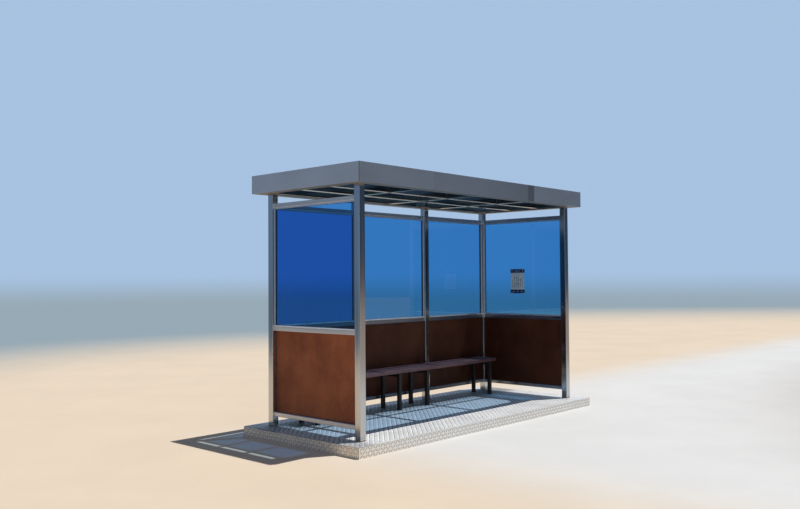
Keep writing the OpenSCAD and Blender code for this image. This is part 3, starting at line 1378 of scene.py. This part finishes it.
# The beams and bars are the posts' stainless; their lighter, warmer colour is partly their own steel
# and partly a painted highlight on their undersides.
BEAM_COLOUR_WITH_PAINTED_HIGHLIGHT: Colour = (0.86, 0.79, 0.68)
BEAM_ROUGHNESS = 0.13
# The fascias are one brushed steel; the long ones' bluish colour and the end ones' warmer colour are
# painted reflection.
FASCIA_LONG_PAINTED_REFLECTION: Colour = (0.575, 0.66, 0.75)
FASCIA_END_PAINTED_REFLECTION: Colour = (0.68, 0.66, 0.64)
BLUE_GLASS = TintedSheet("blue_glass", (0.09, 0.365, 0.73), 0.02, let_through=0.62)
ROOF_SHEET = TintedSheet("roof_sheet", (0.34, 0.50, 0.68), 0.05)


# Sub-assemblies


class Workshop:
    """Keeps the CAD nodes, the shared effects and the finishes that were made."""

    def __init__(self, nodes: dict[str, Piece]) -> None:
        """Starts with the nodes of the loaded frame.

        Args:
            nodes: The CAD nodes' objects, by name.
        """
        self.nodes = nodes
        self.effects = SharedEffects()
        self.made: dict[str, bpy.types.Material] = {}

    def coat(self, piece: Piece, finish: Finish) -> None:
        """Gives a mesh its finish, whose material is built the first time it is asked for.

        Args:
            piece: The piece or node.
            finish: Its finish.
        """
        if finish.name not in self.made:
            self.made[finish.name] = finish.build(self.effects)
        piece.data.materials.clear()
        piece.data.materials.append(self.made[finish.name])

    def dress(self, names: Iterable[str], finish: Finish, edge: float = 0.0) -> None:
        """Gives CAD nodes their finish and, where asked for, softened edges.

        Args:
            names: The nodes.
            finish: Their finish.
            edge: The width of the edge rounding, or 0 for none.
        """
        for name in names:
            self.coat(self.nodes[name], finish)
            if edge:
                self._soften(self.nodes[name], edge)
            LOG.info("dressed %s with %s", name, finish.name)

    @staticmethod
    def _soften(node: Piece, edge: float) -> None:
        """Rounds the edges of a node with live modifiers.

        Args:
            node: The node's object.
            edge: The width of the rounding.
        """
        take(node)
        bpy.ops.object.shade_smooth()
        merge = node.modifiers.new("merge", "WELD")
        merge.merge_threshold = 0.01 * MM
        bevel = node.modifiers.new("edges", "BEVEL")
        bevel.width = edge
        bevel.segments = 2
        bevel.limit_method = "ANGLE"
        bevel.angle_limit = math.radians(40)
        bevel.use_clamp_overlap = True
        even = node.modifiers.new("even", "WEIGHTED_NORMAL")
        even.keep_sharp = True
        even.weight = 60

    def add(self, piece: Piece, finish: Finish, slot: str | None = None) -> None:
        """Gives a new piece its finish and fixes it to the shelter.

        Args:
            piece: The finished mesh at the origin.
            finish: Its finish.
            slot: The record's material slot, if it has one; not used.
        """
        self.coat(piece, finish)
        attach(piece, "root")
        LOG.info("added %s, %d faces", piece.name, len(piece.data.polygons))


@dataclass
class CornerSeams:
    """Dark filled seams down the four upright corners of a rectangle."""

    name: str
    sides: int
    radius: float
    rounding: float
    short: float
    sunk: float

    def build(self, shop: Workshop, x: float, y: float, upright: Box) -> None:
        """Adds the seams.

        Args:
            shop: The workshop that fixes them.
            x: Half the rectangle's length.
            y: Half its width.
            upright: A box as high as the seams, which end a little short of it.
        """
        margin = self.short / 2
        bead = rod(self.sides, self.radius, upright.low.z + margin, upright.high.z - margin)
        rounded(bead, self.rounding, 2)
        reach_x, reach_y = x - self.sunk, y - self.sunk
        places = spots((i * reach_x, j * reach_y, 0) for i in SIDES for j in SIDES)
        shop.add(copies(bead, places, self.name), SEAM)


@dataclass
class Platform:
    """The tread deck with its skirts, lugs, corner screws and hidden bearers.

    No lug lies under a post or a foot of the bench, whose middles are given.
    """

    posts: list[Span]
    feet: list[Span]
    post_half: float = 46 * MM
    foot_half: float = 30 * MM
    lug_length: float = 37 * MM
    lug_width: float = 9 * MM
    lug_height: float = 2 * MM
    lug_top: float = 0.66
    pitch: float = 32 * MM
    skirt_rows: int = 3
    slants: Span = (45.0, -45.0)
    edge: float = 0.8 * MM
    screw_radius: float = 8 * MM
    screw_height: float = 3 * MM
    screw_inset: float = 62 * MM

    def _lug(self, slant: float) -> Piece:
        """Models one raised lug with sloping sides that stands on the XY plane.

        Args:
            slant: How far it is turned about Z, in degrees.

        Returns:
            The open-bottomed lug.
        """
        lug = rod(8, 0.5, 0.0, 1.0)
        lug.scale = (self.lug_length, self.lug_width, self.lug_height)
        lug.rotation_euler.z = math.radians(slant)
        freeze(lug)
        select_where(lug, Element.FACE, lambda p: p.z > 0.9 * self.lug_height)
        bpy.ops.transform.resize(value=(self.lug_top, self.lug_top, 1.0))
        object_mode()
        select_where(lug, Element.FACE, lambda p: p.z < 0.1 * self.lug_height)
        bpy.ops.mesh.delete(type="FACE")
        object_mode()
        return lug

    @staticmethod
    def _take_away(lugs: Piece, test: Callable[[Vector], bool]) -> None:
        """Deletes every lug that has a vertex which passes a test.

        Args:
            lugs: The joined lugs.
            test: Says of a vertex whether its lug goes.
        """
        select_where(lugs, Element.VERTEX, test)
        bpy.ops.mesh.select_linked()
        bpy.ops.mesh.delete(type="VERT")
        object_mode()

    def _lattice(self, slant: float, columns: int, rows: int, name: str) -> Piece:
        """Models every lug of one slant on a chequered lattice that starts at the origin.

        Args:
            slant: The slant in degrees.
            columns: The number of lattice places along X.
            rows: The number of lattice places along Y.
            name: The piece's name.

        Returns:
            The joined lugs.
        """
        pitch = self.pitch
        odd = pitch if slant < 0 else 0.0
        pair = copies(self._lug(slant), spots([(odd, 0, 0), (pitch - odd, pitch, 0)]), name)
        array(pair, (2 * pitch, 0, 0), math.ceil(columns / 2))
        array(pair, (0, 2 * pitch, 0), math.ceil(rows / 2))
        limit_x, limit_y = (columns - 0.5) * pitch, (rows - 0.5) * pitch
        self._take_away(pair, lambda p: p.x > limit_x or p.y > limit_y)
        return pair

    def _covered(self, point: Vector) -> bool:
        """Whether a point lies under a post or a foot of the bench.

        Args:
            point: A point on the deck.

        Returns:
            True where no lug may lie.
        """
        return any(
            abs(point.x - x) < half and abs(point.y - y) < half
            for half, middles in ((self.post_half, self.posts), (self.foot_half, self.feet))
            for x, y in middles
        )

    def _deck_lugs(self, shop: Workshop, deck: Box, columns: int, rows: int) -> None:
        """Adds the deck's lugs.

        Args:
            shop: The workshop that fixes them.
            deck: The deck's box.
            columns: The number of lattice places along X.
            rows: The number of lattice places along Y.
        """
        start = (-(columns - 1) * self.pitch / 2, -(rows - 1) * self.pitch / 2, deck.high.z)
        for name, slant in zip(("deck_lugs_rising", "deck_lugs_falling"), self.slants):
            lugs = copies(self._lattice(slant, columns, rows, name), spots([start]), name)
            self._take_away(lugs, self._covered)
            shop.add(lugs, LUG, "tread_plate")

    def _skirt_lugs(self, shop: Workshop, x: float, y: float, columns: int, rows: int) -> None:
        """Adds the lugs of the four skirts as one piece.

        Args:
            shop: The workshop that fixes them.
            x: The distance of the end skirts' faces from the middle.
            y: The distance of the long skirts' faces from the middle.
            columns: The number of lattice places along X.
            rows: The number of lattice places along Y.
        """
        level = Vector((0, 0, Box("skirts_long").centre.z))
        lowest = -(self.skirt_rows - 1) / 2 * self.pitch
        strips = []
        for side in SIDES:
            for normal, reach, count in (
                (Vector((0, side, 0)), y, columns),
                (Vector((side, 0, 0)), x, rows),
            ):
                start = Matrix.Translation((-(count - 1) * self.pitch / 2, lowest, 0))
                place = facing(normal * reach + level, normal) @ start
                for slant in self.slants:
                    strip = self._lattice(slant, count, self.skirt_rows, "skirt_strip")
                    strips.append(copies(strip, [place], "skirt_strip"))
        shop.add(join(strips, "skirt_lugs"), SKIRT_LUG, "tread_plate")

    def _screws(self, shop: Workshop, deck: Box) -> None:
        """Adds the screws near the deck's edges.

        Args:
            shop: The workshop that fixes them.
            deck: The deck's box.
        """
        x, y, z = deck.high - Vector((self.screw_inset, self.screw_inset, 0))
        points = [(i * x, j * y, z) for i in (-1, -1 / 3, 1 / 3, 1) for j in SIDES]
        points += [(i * x, 0, z) for i in SIDES]
        screw = screw_head(self.screw_radius, self.screw_height)
        shop.add(copies(screw, spots(points), "deck_screws"), SCREW)

    def build(self, shop: Workshop) -> None:
        """Dresses the platform's nodes and adds lugs, seams and screws.

        Args:
            shop: The workshop that holds the nodes and finishes.
        """
        shop.dress(["deck_plate"], TREAD, self.edge)
        shop.dress(["skirts_long"], SKIRT, self.edge)
        shop.dress(["skirts_end"], SKIRT_END_PAINTED_SAND_LIGHT, self.edge)
        shop.dress(["bearers_long", "bearers_cross"], GALVANISED, 0.5 * MM)
        deck = Box("deck_plate")
        columns, rows = (int(length / self.pitch) for length in deck.size.xy)
        x, y = Box("skirts_end").high.x, Box("skirts_long").high.y
        self._deck_lugs(shop, deck, columns, rows)
        self._skirt_lugs(shop, x, y, columns, rows)
        seams = CornerSeams("skirt_seams", 10, 2 * MM, 0.8 * MM, short=3 * MM, sunk=0.8 * MM)
        seams.build(shop, x, y, Box("skirts_long"))
        self._screws(shop, deck)


@dataclass
class Frame:
    """Posts, rails, ring beams and lattice bars with the weld beads between them."""

    bead: float = 2.4 * MM
    corner: float = 4 * MM
    edge: float = 0.5 * MM
    bar_width: float = 40 * MM
    front_posts: tuple[str, ...] = ("post_front_left", "post_front_right")
    back_posts: tuple[str, ...] = (
        "post_back_left",
        "post_back_mid_left",
        "post_back_mid_right",
        "post_back_right",
    )
    back_rails: tuple[str, ...] = ("rails_back_bottom", "rails_back_middle", "rails_back_top")

    @property
    def posts(self) -> tuple[str, ...]:
        """The nodes of all six posts."""
        return self.front_posts + self.back_posts

    def post_middles(self) -> list[Span]:
        """Where the posts' middles stand on the deck."""
        return [tuple(Box(name).centre.xy) for name in self.posts]

    def _weld(
        self, shop: Workshop, name: str, size: Span, places: list[Matrix], metal: Finish
    ) -> None:
        """Adds beads of one finish at several places round tubes of one size."""
        loop = weld_loop(*size, self.bead, self.corner)
        shop.add(copies(loop, places, name), metal)

    def _dress(self, shop: Workshop) -> None:
        """Gives every tube its stainless finish.

        Args:
            shop: The workshop that holds the nodes and finishes.
        """
        foot, top = Box(self.posts[0]).low.z, Box("fascia_front").low.z
        ring = Box("ring_beams_long")
        look = (BEAM_COLOUR_WITH_PAINTED_HIGHLIGHT, BEAM_ROUGHNESS)
        # The band from just over the undersides to just under the tops is painted shade on the sides
        # of the beams and bars.
        painted_shade_band = (ring.low.z + self.corner, ring.high.z - MM)
        post = StainlessTube("stainless_post", Axis.Z, stain_levels=(foot, top))
        along = StainlessTube("stainless_beam_long", Axis.X, *look, painted_shade_band=painted_shade_band)
        across = StainlessTube("stainless_beam_cross", Axis.Y, *look, painted_shade_band=painted_shade_band)
        for names, finish in (
            (self.posts, post),
            (self.back_rails[:2], RAIL_BACK_PAINTED_SHADE),
            (self.back_rails[2:], RAIL_HIGH_PAINTED_REFLECTION),
            (("rails_left",), RAIL_LEFT_PAINTED_LIGHT),
            (("rails_right",), RAIL_RIGHT_PAINTED_SHADE),
            (("ring_beams_long", "lattice_bars_long"), along),
            (("ring_beams_cross", "lattice_bars_cross"), across),
        ):
            shop.dress(names, finish, self.edge)

    def _rail_welds(self, shop: Workshop) -> None:
        """Adds a bead round each rail's end.

        Args:
            shop: The workshop that fixes them.
        """
        rail = Box("rails_back_top")
        levels = [Box(name).centre.z for name in self.back_rails]
        ends = []
        for name in self.back_posts:
            post = Box(name)
            for x, side in zip((post.low.x, post.high.x), SIDES):
                if abs(x) < rail.high.x + MM:
                    ends.append((x, rail.centre.y, Vector((side, 0, 0))))
        for name in ("rails_left", "rails_right"):
            wall = Box(name)
            for y, side in zip((wall.high.y, wall.low.y), SIDES):
                ends.append((wall.centre.x, y, Vector((0, side, 0))))
        places = [facing(Vector((x, y, z)), normal) for x, y, normal in ends for z in levels]
        self._weld(shop, "rail_welds", (rail.size.z, rail.size.z), places, WELD_PAINTED_GLINT)

    def _post_welds(self, shop: Workshop) -> None:
        """Adds a bead round each post's foot.

        Args:
            shop: The workshop that fixes them.
        """
        post = Box(self.posts[0])
        places = spots((x, y, post.low.z) for x, y in self.post_middles())
        self._weld(shop, "post_welds", tuple(post.size.xy), places, WELD)

    def _roof_welds(self, shop: Workshop) -> None:
        """Adds a bead round each end of the roof's beams and bars.

        Args:
            shop: The workshop that fixes them.
        """
        ring, cross = Box("ring_beams_cross"), Box("lattice_bars_cross")
        long_bars = Box("lattice_bars_long")
        width = Box("ring_beams_long").high.y - ring.high.y
        middle = ring.high.x - width / 2
        places = [
            facing(Vector((i * middle, j * ring.high.y, ring.centre.z)), Vector((0, -j, 0)))
            for i in SIDES
            for j in SIDES
        ]
        # The roof's beads are darkened as painted shade.
        self._weld(shop, "beam_welds", (width, ring.size.z), places, DARK_ROOF_STEEL)
        width = self.bar_width
        outer, z = long_bars.high.y, cross.centre.z
        places = []
        for x in (cross.low.x + width / 2, 0.0, cross.high.x - width / 2):
            for y in (cross.low.y, -outer, -outer + width, outer - width, outer, cross.high.y):
                places.append(facing(Vector((x, y, z)), Vector((0, 1, 0))))
        for y in (-outer + width / 2, outer - width / 2):
            for x in (long_bars.low.x, long_bars.high.x):
                places.append(facing(Vector((x, y, z)), Vector((1, 0, 0))))
        self._weld(shop, "bar_welds", (width, cross.size.z), places, DARK_ROOF_STEEL)

    def build(self, shop: Workshop) -> None:
        """Dresses the tubes and adds their welds.

        Args:
            shop: The workshop that holds the nodes and finishes.
        """
        self._dress(shop)
        self._rail_welds(shop)
        self._post_welds(shop)
        self._roof_welds(shop)


@dataclass
class Glazing:
    """Tinted panes in stainless channels with black rubber on both faces."""

    lip: float = 14 * MM
    edge: float = 2 * MM
    rubber_height: float = 2 * MM
    rubber_depth: float = 7 * MM
    rubber_edge: float = 1.6 * MM

    def build(self, shop: Workshop) -> None:
        """Dresses panes and channels and adds the rubber.

        Args:
            shop: The workshop that holds the nodes and finishes.
        """
        # The channels' bottom members get a painted highlight up to this height.
        steel = ChannelSteel("glazing_channel", Box("channels_left").low.z + self.lip)
        for wall in Wall:
            shop.dress(["glass_" + wall.suffix], BLUE_GLASS)
            shop.dress(["channels_" + wall.suffix], steel, self.edge)
            channel, pane = Box("channels_" + wall.suffix), Box("glass_" + wall.suffix)
            rubber = plate_frame(
                channel.size[wall.along] - 2 * self.lip,
                channel.size.z - 2 * self.lip,
                self.rubber_height,
                self.rubber_depth,
                self.rubber_edge,
            )
            places = both_faces(channel.centre, pane, wall.across)
            shop.add(copies(rubber, places, "rubber_" + wall.suffix), RUBBER)


@dataclass
class LowerPanels:
    """Rust-brown plates with a dark bead where they meet rails and posts."""

    seal: float = 4 * MM
    seal_edge: float = 1.2 * MM
    over_posts: float = 1 * MM
    over_rails: float = 0.5 * MM

    def build(self, shop: Workshop) -> None:
        """Dresses the plates and adds their seals.

        Args:
            shop: The workshop that holds the nodes and finishes.
        """
        end_plane, back_plane = Box("panel_right").centre.x, Box("panel_back_left").centre.y
        plate = RustBrownPlate("rust_brown_plate", end_plane, back_plane)
        for wall in Wall:
            shop.dress(["panel_" + wall.suffix], plate)
            box = Box("panel_" + wall.suffix)
            seal = plate_frame(
                box.size[wall.along] + self.over_posts,
                box.size.z + self.over_rails,
                self.seal,
                self.seal,
                self.seal_edge,
            )
            places = both_faces(box.centre, box, wall.across)
            shop.add(copies(seal, places, "seal_" + wall.suffix), RUBBER)


@dataclass
class Roof:
    """Brushed fascias round a pale translucent sheet that is screwed to the bars."""

    edge: float = 0.6 * MM
    seam: float = 2.5 * MM
    putty_over: float = 4 * MM
    putty_width: float = 12 * MM
    putty_height: float = 5 * MM
    putty_edge: float = 2 * MM
    screw_step: float = 0.34
    screw_radius: float = 5 * MM
    screw_height: float = 4 * MM
    washer: float = 9 * MM
    row_start: float = 60 * MM
    ring_inset: float = 35 * MM
    bar_inset: float = 20 * MM

    def _sealant(self, shop: Workshop) -> None:
        """Adds the putty between the sheet and the fascias.

        Args:
            shop: The workshop that fixes it.
        """
        sheet = Box("roof_sheet")
        length, width = (size + 2 * self.putty_over for size in sheet.size.xy)
        frame = plate_frame(length, width, self.putty_width, self.putty_height, self.putty_edge)
        places = spots([(0, 0, sheet.high.z - self.putty_edge)])
        shop.add(copies(frame, places, "roof_sealant"), SEALANT)

    def _screws(self, shop: Workshop) -> None:
        """Adds rows of screws with washers along the bars, on top of the sheet.

        Args:
            shop: The workshop that fixes them.
        """
        bars, ring, z = Box("lattice_bars_long"), Box("ring_beams_long"), Box("roof_sheet").high.z
        outer, inner = ring.high.y - self.ring_inset, bars.high.y - self.bar_inset
        count = int(2 * bars.high.x / self.screw_step)
        start = -bars.high.x + self.row_start
        step = -2 * start / count
        rows = (-outer, -inner, inner, outer)
        points = [(start + k * step, y, z) for y in rows for k in range(count + 1)]
        screw = screw_head(self.screw_radius, self.screw_height, self.washer)
        shop.add(copies(screw, spots(points), "roof_screws"), SCREW)

    def build(self, shop: Workshop) -> None:
        """Dresses the roof and adds seams, putty and screws.

        Args:
            shop: The workshop that holds the nodes and finishes.
        """
        front, end = Box("fascia_front"), Box("fascia_right")
        corner = Vector((end.high.x, -front.low.y, front.low.z))
        along = BrushedFascia("brushed_fascia_long", FASCIA_LONG_PAINTED_REFLECTION, corner)
        shop.dress(["fascia_front", "fascia_back"], along, self.edge)
        across = BrushedFascia("brushed_fascia_end", FASCIA_END_PAINTED_REFLECTION, corner)
        shop.dress(["fascia_left", "fascia_right"], across, self.edge)
        shop.dress(["fascia_brackets"], DARK_ROOF_STEEL, 0.5 * MM)
        shop.dress(["roof_sheet"], ROOF_SHEET)
        seams = CornerSeams("fascia_seams", 12, self.seam, MM, short=2 * MM, sunk=self.seam / 2)
        seams.build(shop, corner.x, corner.y, front)
        self._sealant(shop)
        self._screws(shop)


@dataclass
class Bench:
    """Stained slats on black heads and legs, with sunk screws and foot welds."""

    leg: float = 40 * MM
    inner_leg: float = 0.233
    slats: int = 3
    slat_gap: float = 10 * MM
    screw_radius: float = 5 * MM
    screw_height: float = 1.2 * MM
    screw_pitch: float = 44 * MM
    bead: float = 2 * MM
    corner: float = 4 * MM

    def _columns(self) -> tuple[float, ...]:
        """Where the four pairs of legs stand along the bench."""
        outer = Box("bench_legs").high.x - self.leg / 2
        return (-outer, -self.inner_leg, self.inner_leg, outer)

    def feet(self) -> list[Span]:
        """Where the eight feet stand on the deck.

        Returns:
            The middle of each foot.
        """
        legs = Box("bench_legs")
        rows = (legs.low.y + self.leg / 2, legs.high.y - self.leg / 2)
        return [(x, y) for x in self._columns() for y in rows]

    def _screws(self, shop: Workshop) -> None:
        """Adds two screws on each slat over each pair of legs.

        Args:
            shop: The workshop that fixes them.
        """
        seat = Box("bench_slats")
        slat = (seat.size.y - (self.slats - 1) * self.slat_gap) / self.slats
        rows = [seat.low.y + slat / 2 + k * (slat + self.slat_gap) for k in range(self.slats)]
        z = seat.high.z - self.screw_height / 2
        places = spots(
            (x, y + side * self.screw_pitch / 2, z)
            for x in self._columns()
            for y in rows
            for side in SIDES
        )
        screw = screw_head(self.screw_radius, self.screw_height)
        shop.add(copies(screw, places, "bench_screws"), SCREW)

    def build(self, shop: Workshop) -> None:
        """Dresses the bench and adds its screws and welds.

        Args:
            shop: The workshop that holds the nodes and finishes.
        """
        shop.dress(["bench_slats"], StainedWood("stained_wood"), 0.8 * MM)
        shop.dress(["bench_heads", "bench_legs"], BLACK_PAINT, 0.5 * MM)
        shop.dress(["bench_head_caps"], BLACK_CAP, 0.5 * MM)
        self._screws(shop)
        legs = Box("bench_legs")
        loop = weld_loop(self.leg, self.leg, self.bead, self.corner)
        places = spots((x, y, z) for x, y in self.feet() for z in (legs.low.z, legs.high.z))
        shop.add(copies(loop, places, "leg_welds"), BLACK_PAINT)


@dataclass
class PostedNotice:
    """A plain sheet with navy bands and a few strokes, taped inside the right-hand pane.

    The sizes and places of what is on the sheet are shares of its width and height.
    """

    width: float = 201 * MM
    height: float = 300 * MM
    middle_y: float = 0.0625
    middle_z: float = 1.503
    thickness: float = 0.3 * MM
    band: Span = (1.06, 0.155)
    band_y: float = 0.43
    top_mark: Span = (0.045, 0.035)
    top_marks: tuple[float, ...] = (-0.40, -0.18, -0.07, 0.04, 0.15, 0.38)
    low_mark: Span = (0.10, 0.025)
    low_marks: tuple[float, ...] = (-0.30, 0.0, 0.30)
    rules_y: Span = (0.29, -0.27)
    uprights: tuple[Point, ...] = (
        (-0.36, -0.25, 0.06),
        (-0.22, -0.27, 0.20),
        (-0.06, -0.20, 0.24),
        (0.06, -0.27, 0.24),
        (0.22, -0.22, 0.12),
        (0.36, -0.25, 0.18),
    )
    levels: tuple[Point, ...] = (
        (-0.14, 0.14, 0.28),
        (0.14, 0.05, 0.3),
        (0.0, -0.10, 0.34),
        (-0.1, -0.19, 0.3),
    )
    rule_height: float = 1.6 * MM
    upright_width: float = 5 * MM
    level_height: float = 3.5 * MM
    tab: Span = (34 * MM, 14 * MM)
    tab_x: float = 0.4
    tab_lift: float = 0.4 * MM

    def _patch(self, size: Span, x: float, y: float, lift: float) -> Piece:
        """Models one thin patch over the XY plane.

        Args:
            size: Its width and height.
            x: The place of its middle, as a share of the sheet's width.
            y: The place of its middle, as a share of the sheet's height.
            lift: How far it is over the plane.

        Returns:
            The closed patch.
        """
        patch = rectangle("patch", *size, (x * self.width, y * self.height, lift))
        select_where(patch, Element.FACE, lambda p: True)
        thicken(self.thickness)
        return patch

    def _share(self, size: Span) -> Span:
        """The width and height that two shares of the sheet give."""
        return (size[0] * self.width, size[1] * self.height)

    def _strokes(self, lift: float) -> list[Piece]:
        """Models the thin rules, the upright strokes and the level ones.

        Args:
            lift: How far they are over the sheet's plane.

        Returns:
            The strokes.
        """
        rule = (0.8 * self.width, self.rule_height)
        strokes = [self._patch(rule, 0, y, lift) for y in self.rules_y]
        for x, low, high in self.uprights:
            size = (self.upright_width, (high - low) * self.height)
            strokes.append(self._patch(size, x, (high + low) / 2, lift))
        for x, y, wide in self.levels:
            strokes.append(self._patch((wide * self.width, self.level_height), x, y, lift))
        return strokes

    def build(self, shop: Workshop) -> None:
        """Adds the sheet, its bands, marks and strokes, and its tape.

        Args:
            shop: The workshop that fixes them.
        """
        lift = 0.7 * self.thickness
        band, top, low = (self._share(s) for s in (self.band, self.top_mark, self.low_mark))
        sheet = [self._patch((self.width, self.height), 0, 0, 0)]
        bands = [self._patch(band, 0, y, lift) for y in (self.band_y, -self.band_y)]
        marks = [self._patch(top, x, self.band_y, 2 * lift) for x in self.top_marks]
        marks += [self._patch(low, x, -self.band_y, 2 * lift) for x in self.low_marks]
        corners = [(i * self.tab_x, j / 2) for i in SIDES for j in SIDES]
        tabs = [self._patch(self.tab, x, y, self.tab_lift) for x, y in corners]
        middle = Vector((Box("glass_right").low.x, self.middle_y, self.middle_z))
        place = facing(middle, Vector((-1, 0, 0)))
        for name, patches, finish in (
            ("notice_sheet", sheet, PAPER_WITH_PAINTED_LIGHT),
            ("notice_bands", bands, NAVY),
            ("notice_marks", marks, PAPER_WITH_PAINTED_LIGHT),
            ("notice_strokes", self._strokes(lift), INK),
            ("notice_tape", tabs, TAPE),
        ):
            shop.add(copies(join(patches, name), [place], name), finish)


@dataclass
class Studio:
    """Pale ground, haze, one soft sun and the camera."""

    eye: Point = (-6.8835, -5.8203, 1.5373)
    heading: float = 47.5022
    pitch: float = 1.734
    roll: float = -0.3924
    lens: float = 36.796
    to_sun: Point = (0.27, -0.1455, 1.0)
    sun_strength: float = 3.1
    sun_angle: float = 0.5
    sun_colour: Colour = (1.0, 0.97, 0.92)
    fill: Colour = (0.12, 0.145, 0.20)
    haze: Colour = (0.39, 0.54, 0.75)
    far_ground: Colour = (0.31, 0.40, 0.46)
    horizon: Span = (-0.03, 0.01)
    left_level: Colour = (0.42, 0.47, 0.54)
    left_from: Span = (-0.2, -1.2)
    right_level: Colour = (0.11, 0.13, 0.16)
    right_from: Span = (0.2, 1.1)
    floor_radius: float = 60.0

    def _camera(self) -> None:
        """Sets the camera that the photograph was taken with."""
        yaw, rise, tilt = (math.radians(v) for v in (self.heading, self.pitch, self.roll))
        level = Vector((math.cos(yaw), -math.sin(yaw), 0))
        ahead = Vector((math.sin(yaw), math.cos(yaw), 0)) * math.cos(rise)
        ahead.z = math.sin(rise)
        above = level.cross(ahead)
        right = math.cos(tilt) * level + math.sin(tilt) * above
        up = -math.sin(tilt) * level + math.cos(tilt) * above
        data = bpy.data.cameras.new("camera")
        data.lens = self.lens
        data.sensor_width = 36.0
        data.clip_end = 500.0
        camera = bpy.data.objects.new("camera", data)
        bpy.context.scene.collection.objects.link(camera)
        turn = Matrix((right, up, -ahead)).transposed()
        camera.matrix_world = Matrix.Translation(self.eye) @ turn.to_4x4()
        bpy.context.scene.camera = camera

    def _sun(self) -> None:
        """Adds the one lamp."""
        data = bpy.data.lights.new("sun", "SUN")
        data.energy = self.sun_strength
        data.angle = math.radians(self.sun_angle)
        data.color = self.sun_colour
        lamp = bpy.data.objects.new("sun", data)
        bpy.context.scene.collection.objects.link(lamp)
        lamp.rotation_euler = Vector(self.to_sun).to_track_quat("Z", "Y").to_euler()

    def _world(self) -> None:
        """Sets plain fill light, with haze for what the camera, metal and glass show."""
        world = bpy.data.worlds.new("haze")
        bpy.context.scene.world = world
        world.use_nodes = True
        world.node_tree.nodes.clear()
        nodes = Nodes(world.node_tree)
        rays = nodes.add("LightPath").outputs
        seen = nodes.most(rays["Is Camera Ray"], rays["Is Glossy Ray"])
        seen = nodes.most(seen, rays["Is Transmission Ray"])
        seen = nodes.times(seen, nodes.math("LESS_THAN", rays["Diffuse Depth"], 0.5))
        x, y, z = nodes.split(nodes.add("TexCoord").outputs["Generated"])
        side = nodes.minus(x, y)
        tone = nodes.mix(nodes.ramp(z, *self.horizon), self.far_ground, self.haze)
        level = nodes.mix(nodes.ramp(side, *self.left_from), WHITE, self.left_level)
        level = nodes.mix(nodes.ramp(side, *self.right_from), level, self.right_level)
        level = nodes.mix(rays["Is Glossy Ray"], WHITE, level)
        colour = nodes.mix(seen, self.fill, nodes.stretch(tone, level))
        light = nodes.add("Background", {"Color": colour, "Strength": 1.0}).outputs[0]
        nodes.add("OutputWorld", {"Surface": light})

    def _floor(self, shop: Workshop) -> None:
        """Adds pale ground that fades into the haze.

        Args:
            shop: The workshop that holds the finishes.
        """
        deselect()
        bpy.ops.mesh.primitive_circle_add(vertices=96, radius=self.floor_radius, fill_type="NGON")
        floor = bpy.context.active_object
        floor.name = "ground"
        shop.coat(floor, PaleGround("pale_ground"))

    def build(self, shop: Workshop) -> None:
        """Sets up everything round the shelter.

        Args:
            shop: The workshop that holds the finishes.
        """
        bpy.context.scene.view_settings.view_transform = "Standard"
        self._world()
        self._sun()
        self._floor(shop)
        self._camera()


def main() -> None:
    """Builds every sub-assembly in order and logs each one."""
    logging.basicConfig(level=logging.INFO, format="%(message)s")
    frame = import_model()
    shop = Workshop(frame["nodes"])
    posts, bench = Frame(), Bench()
    for part in (
        Platform(posts.post_middles(), bench.feet()),
        posts,
        Glazing(),
        LowerPanels(),
        Roof(),
        bench,
        PostedNotice(),
        Studio(),
    ):
        part.build(shop)
        LOG.info("built %s", type(part).__name__)
    deselect()


if __name__ == "__main__":
    main()
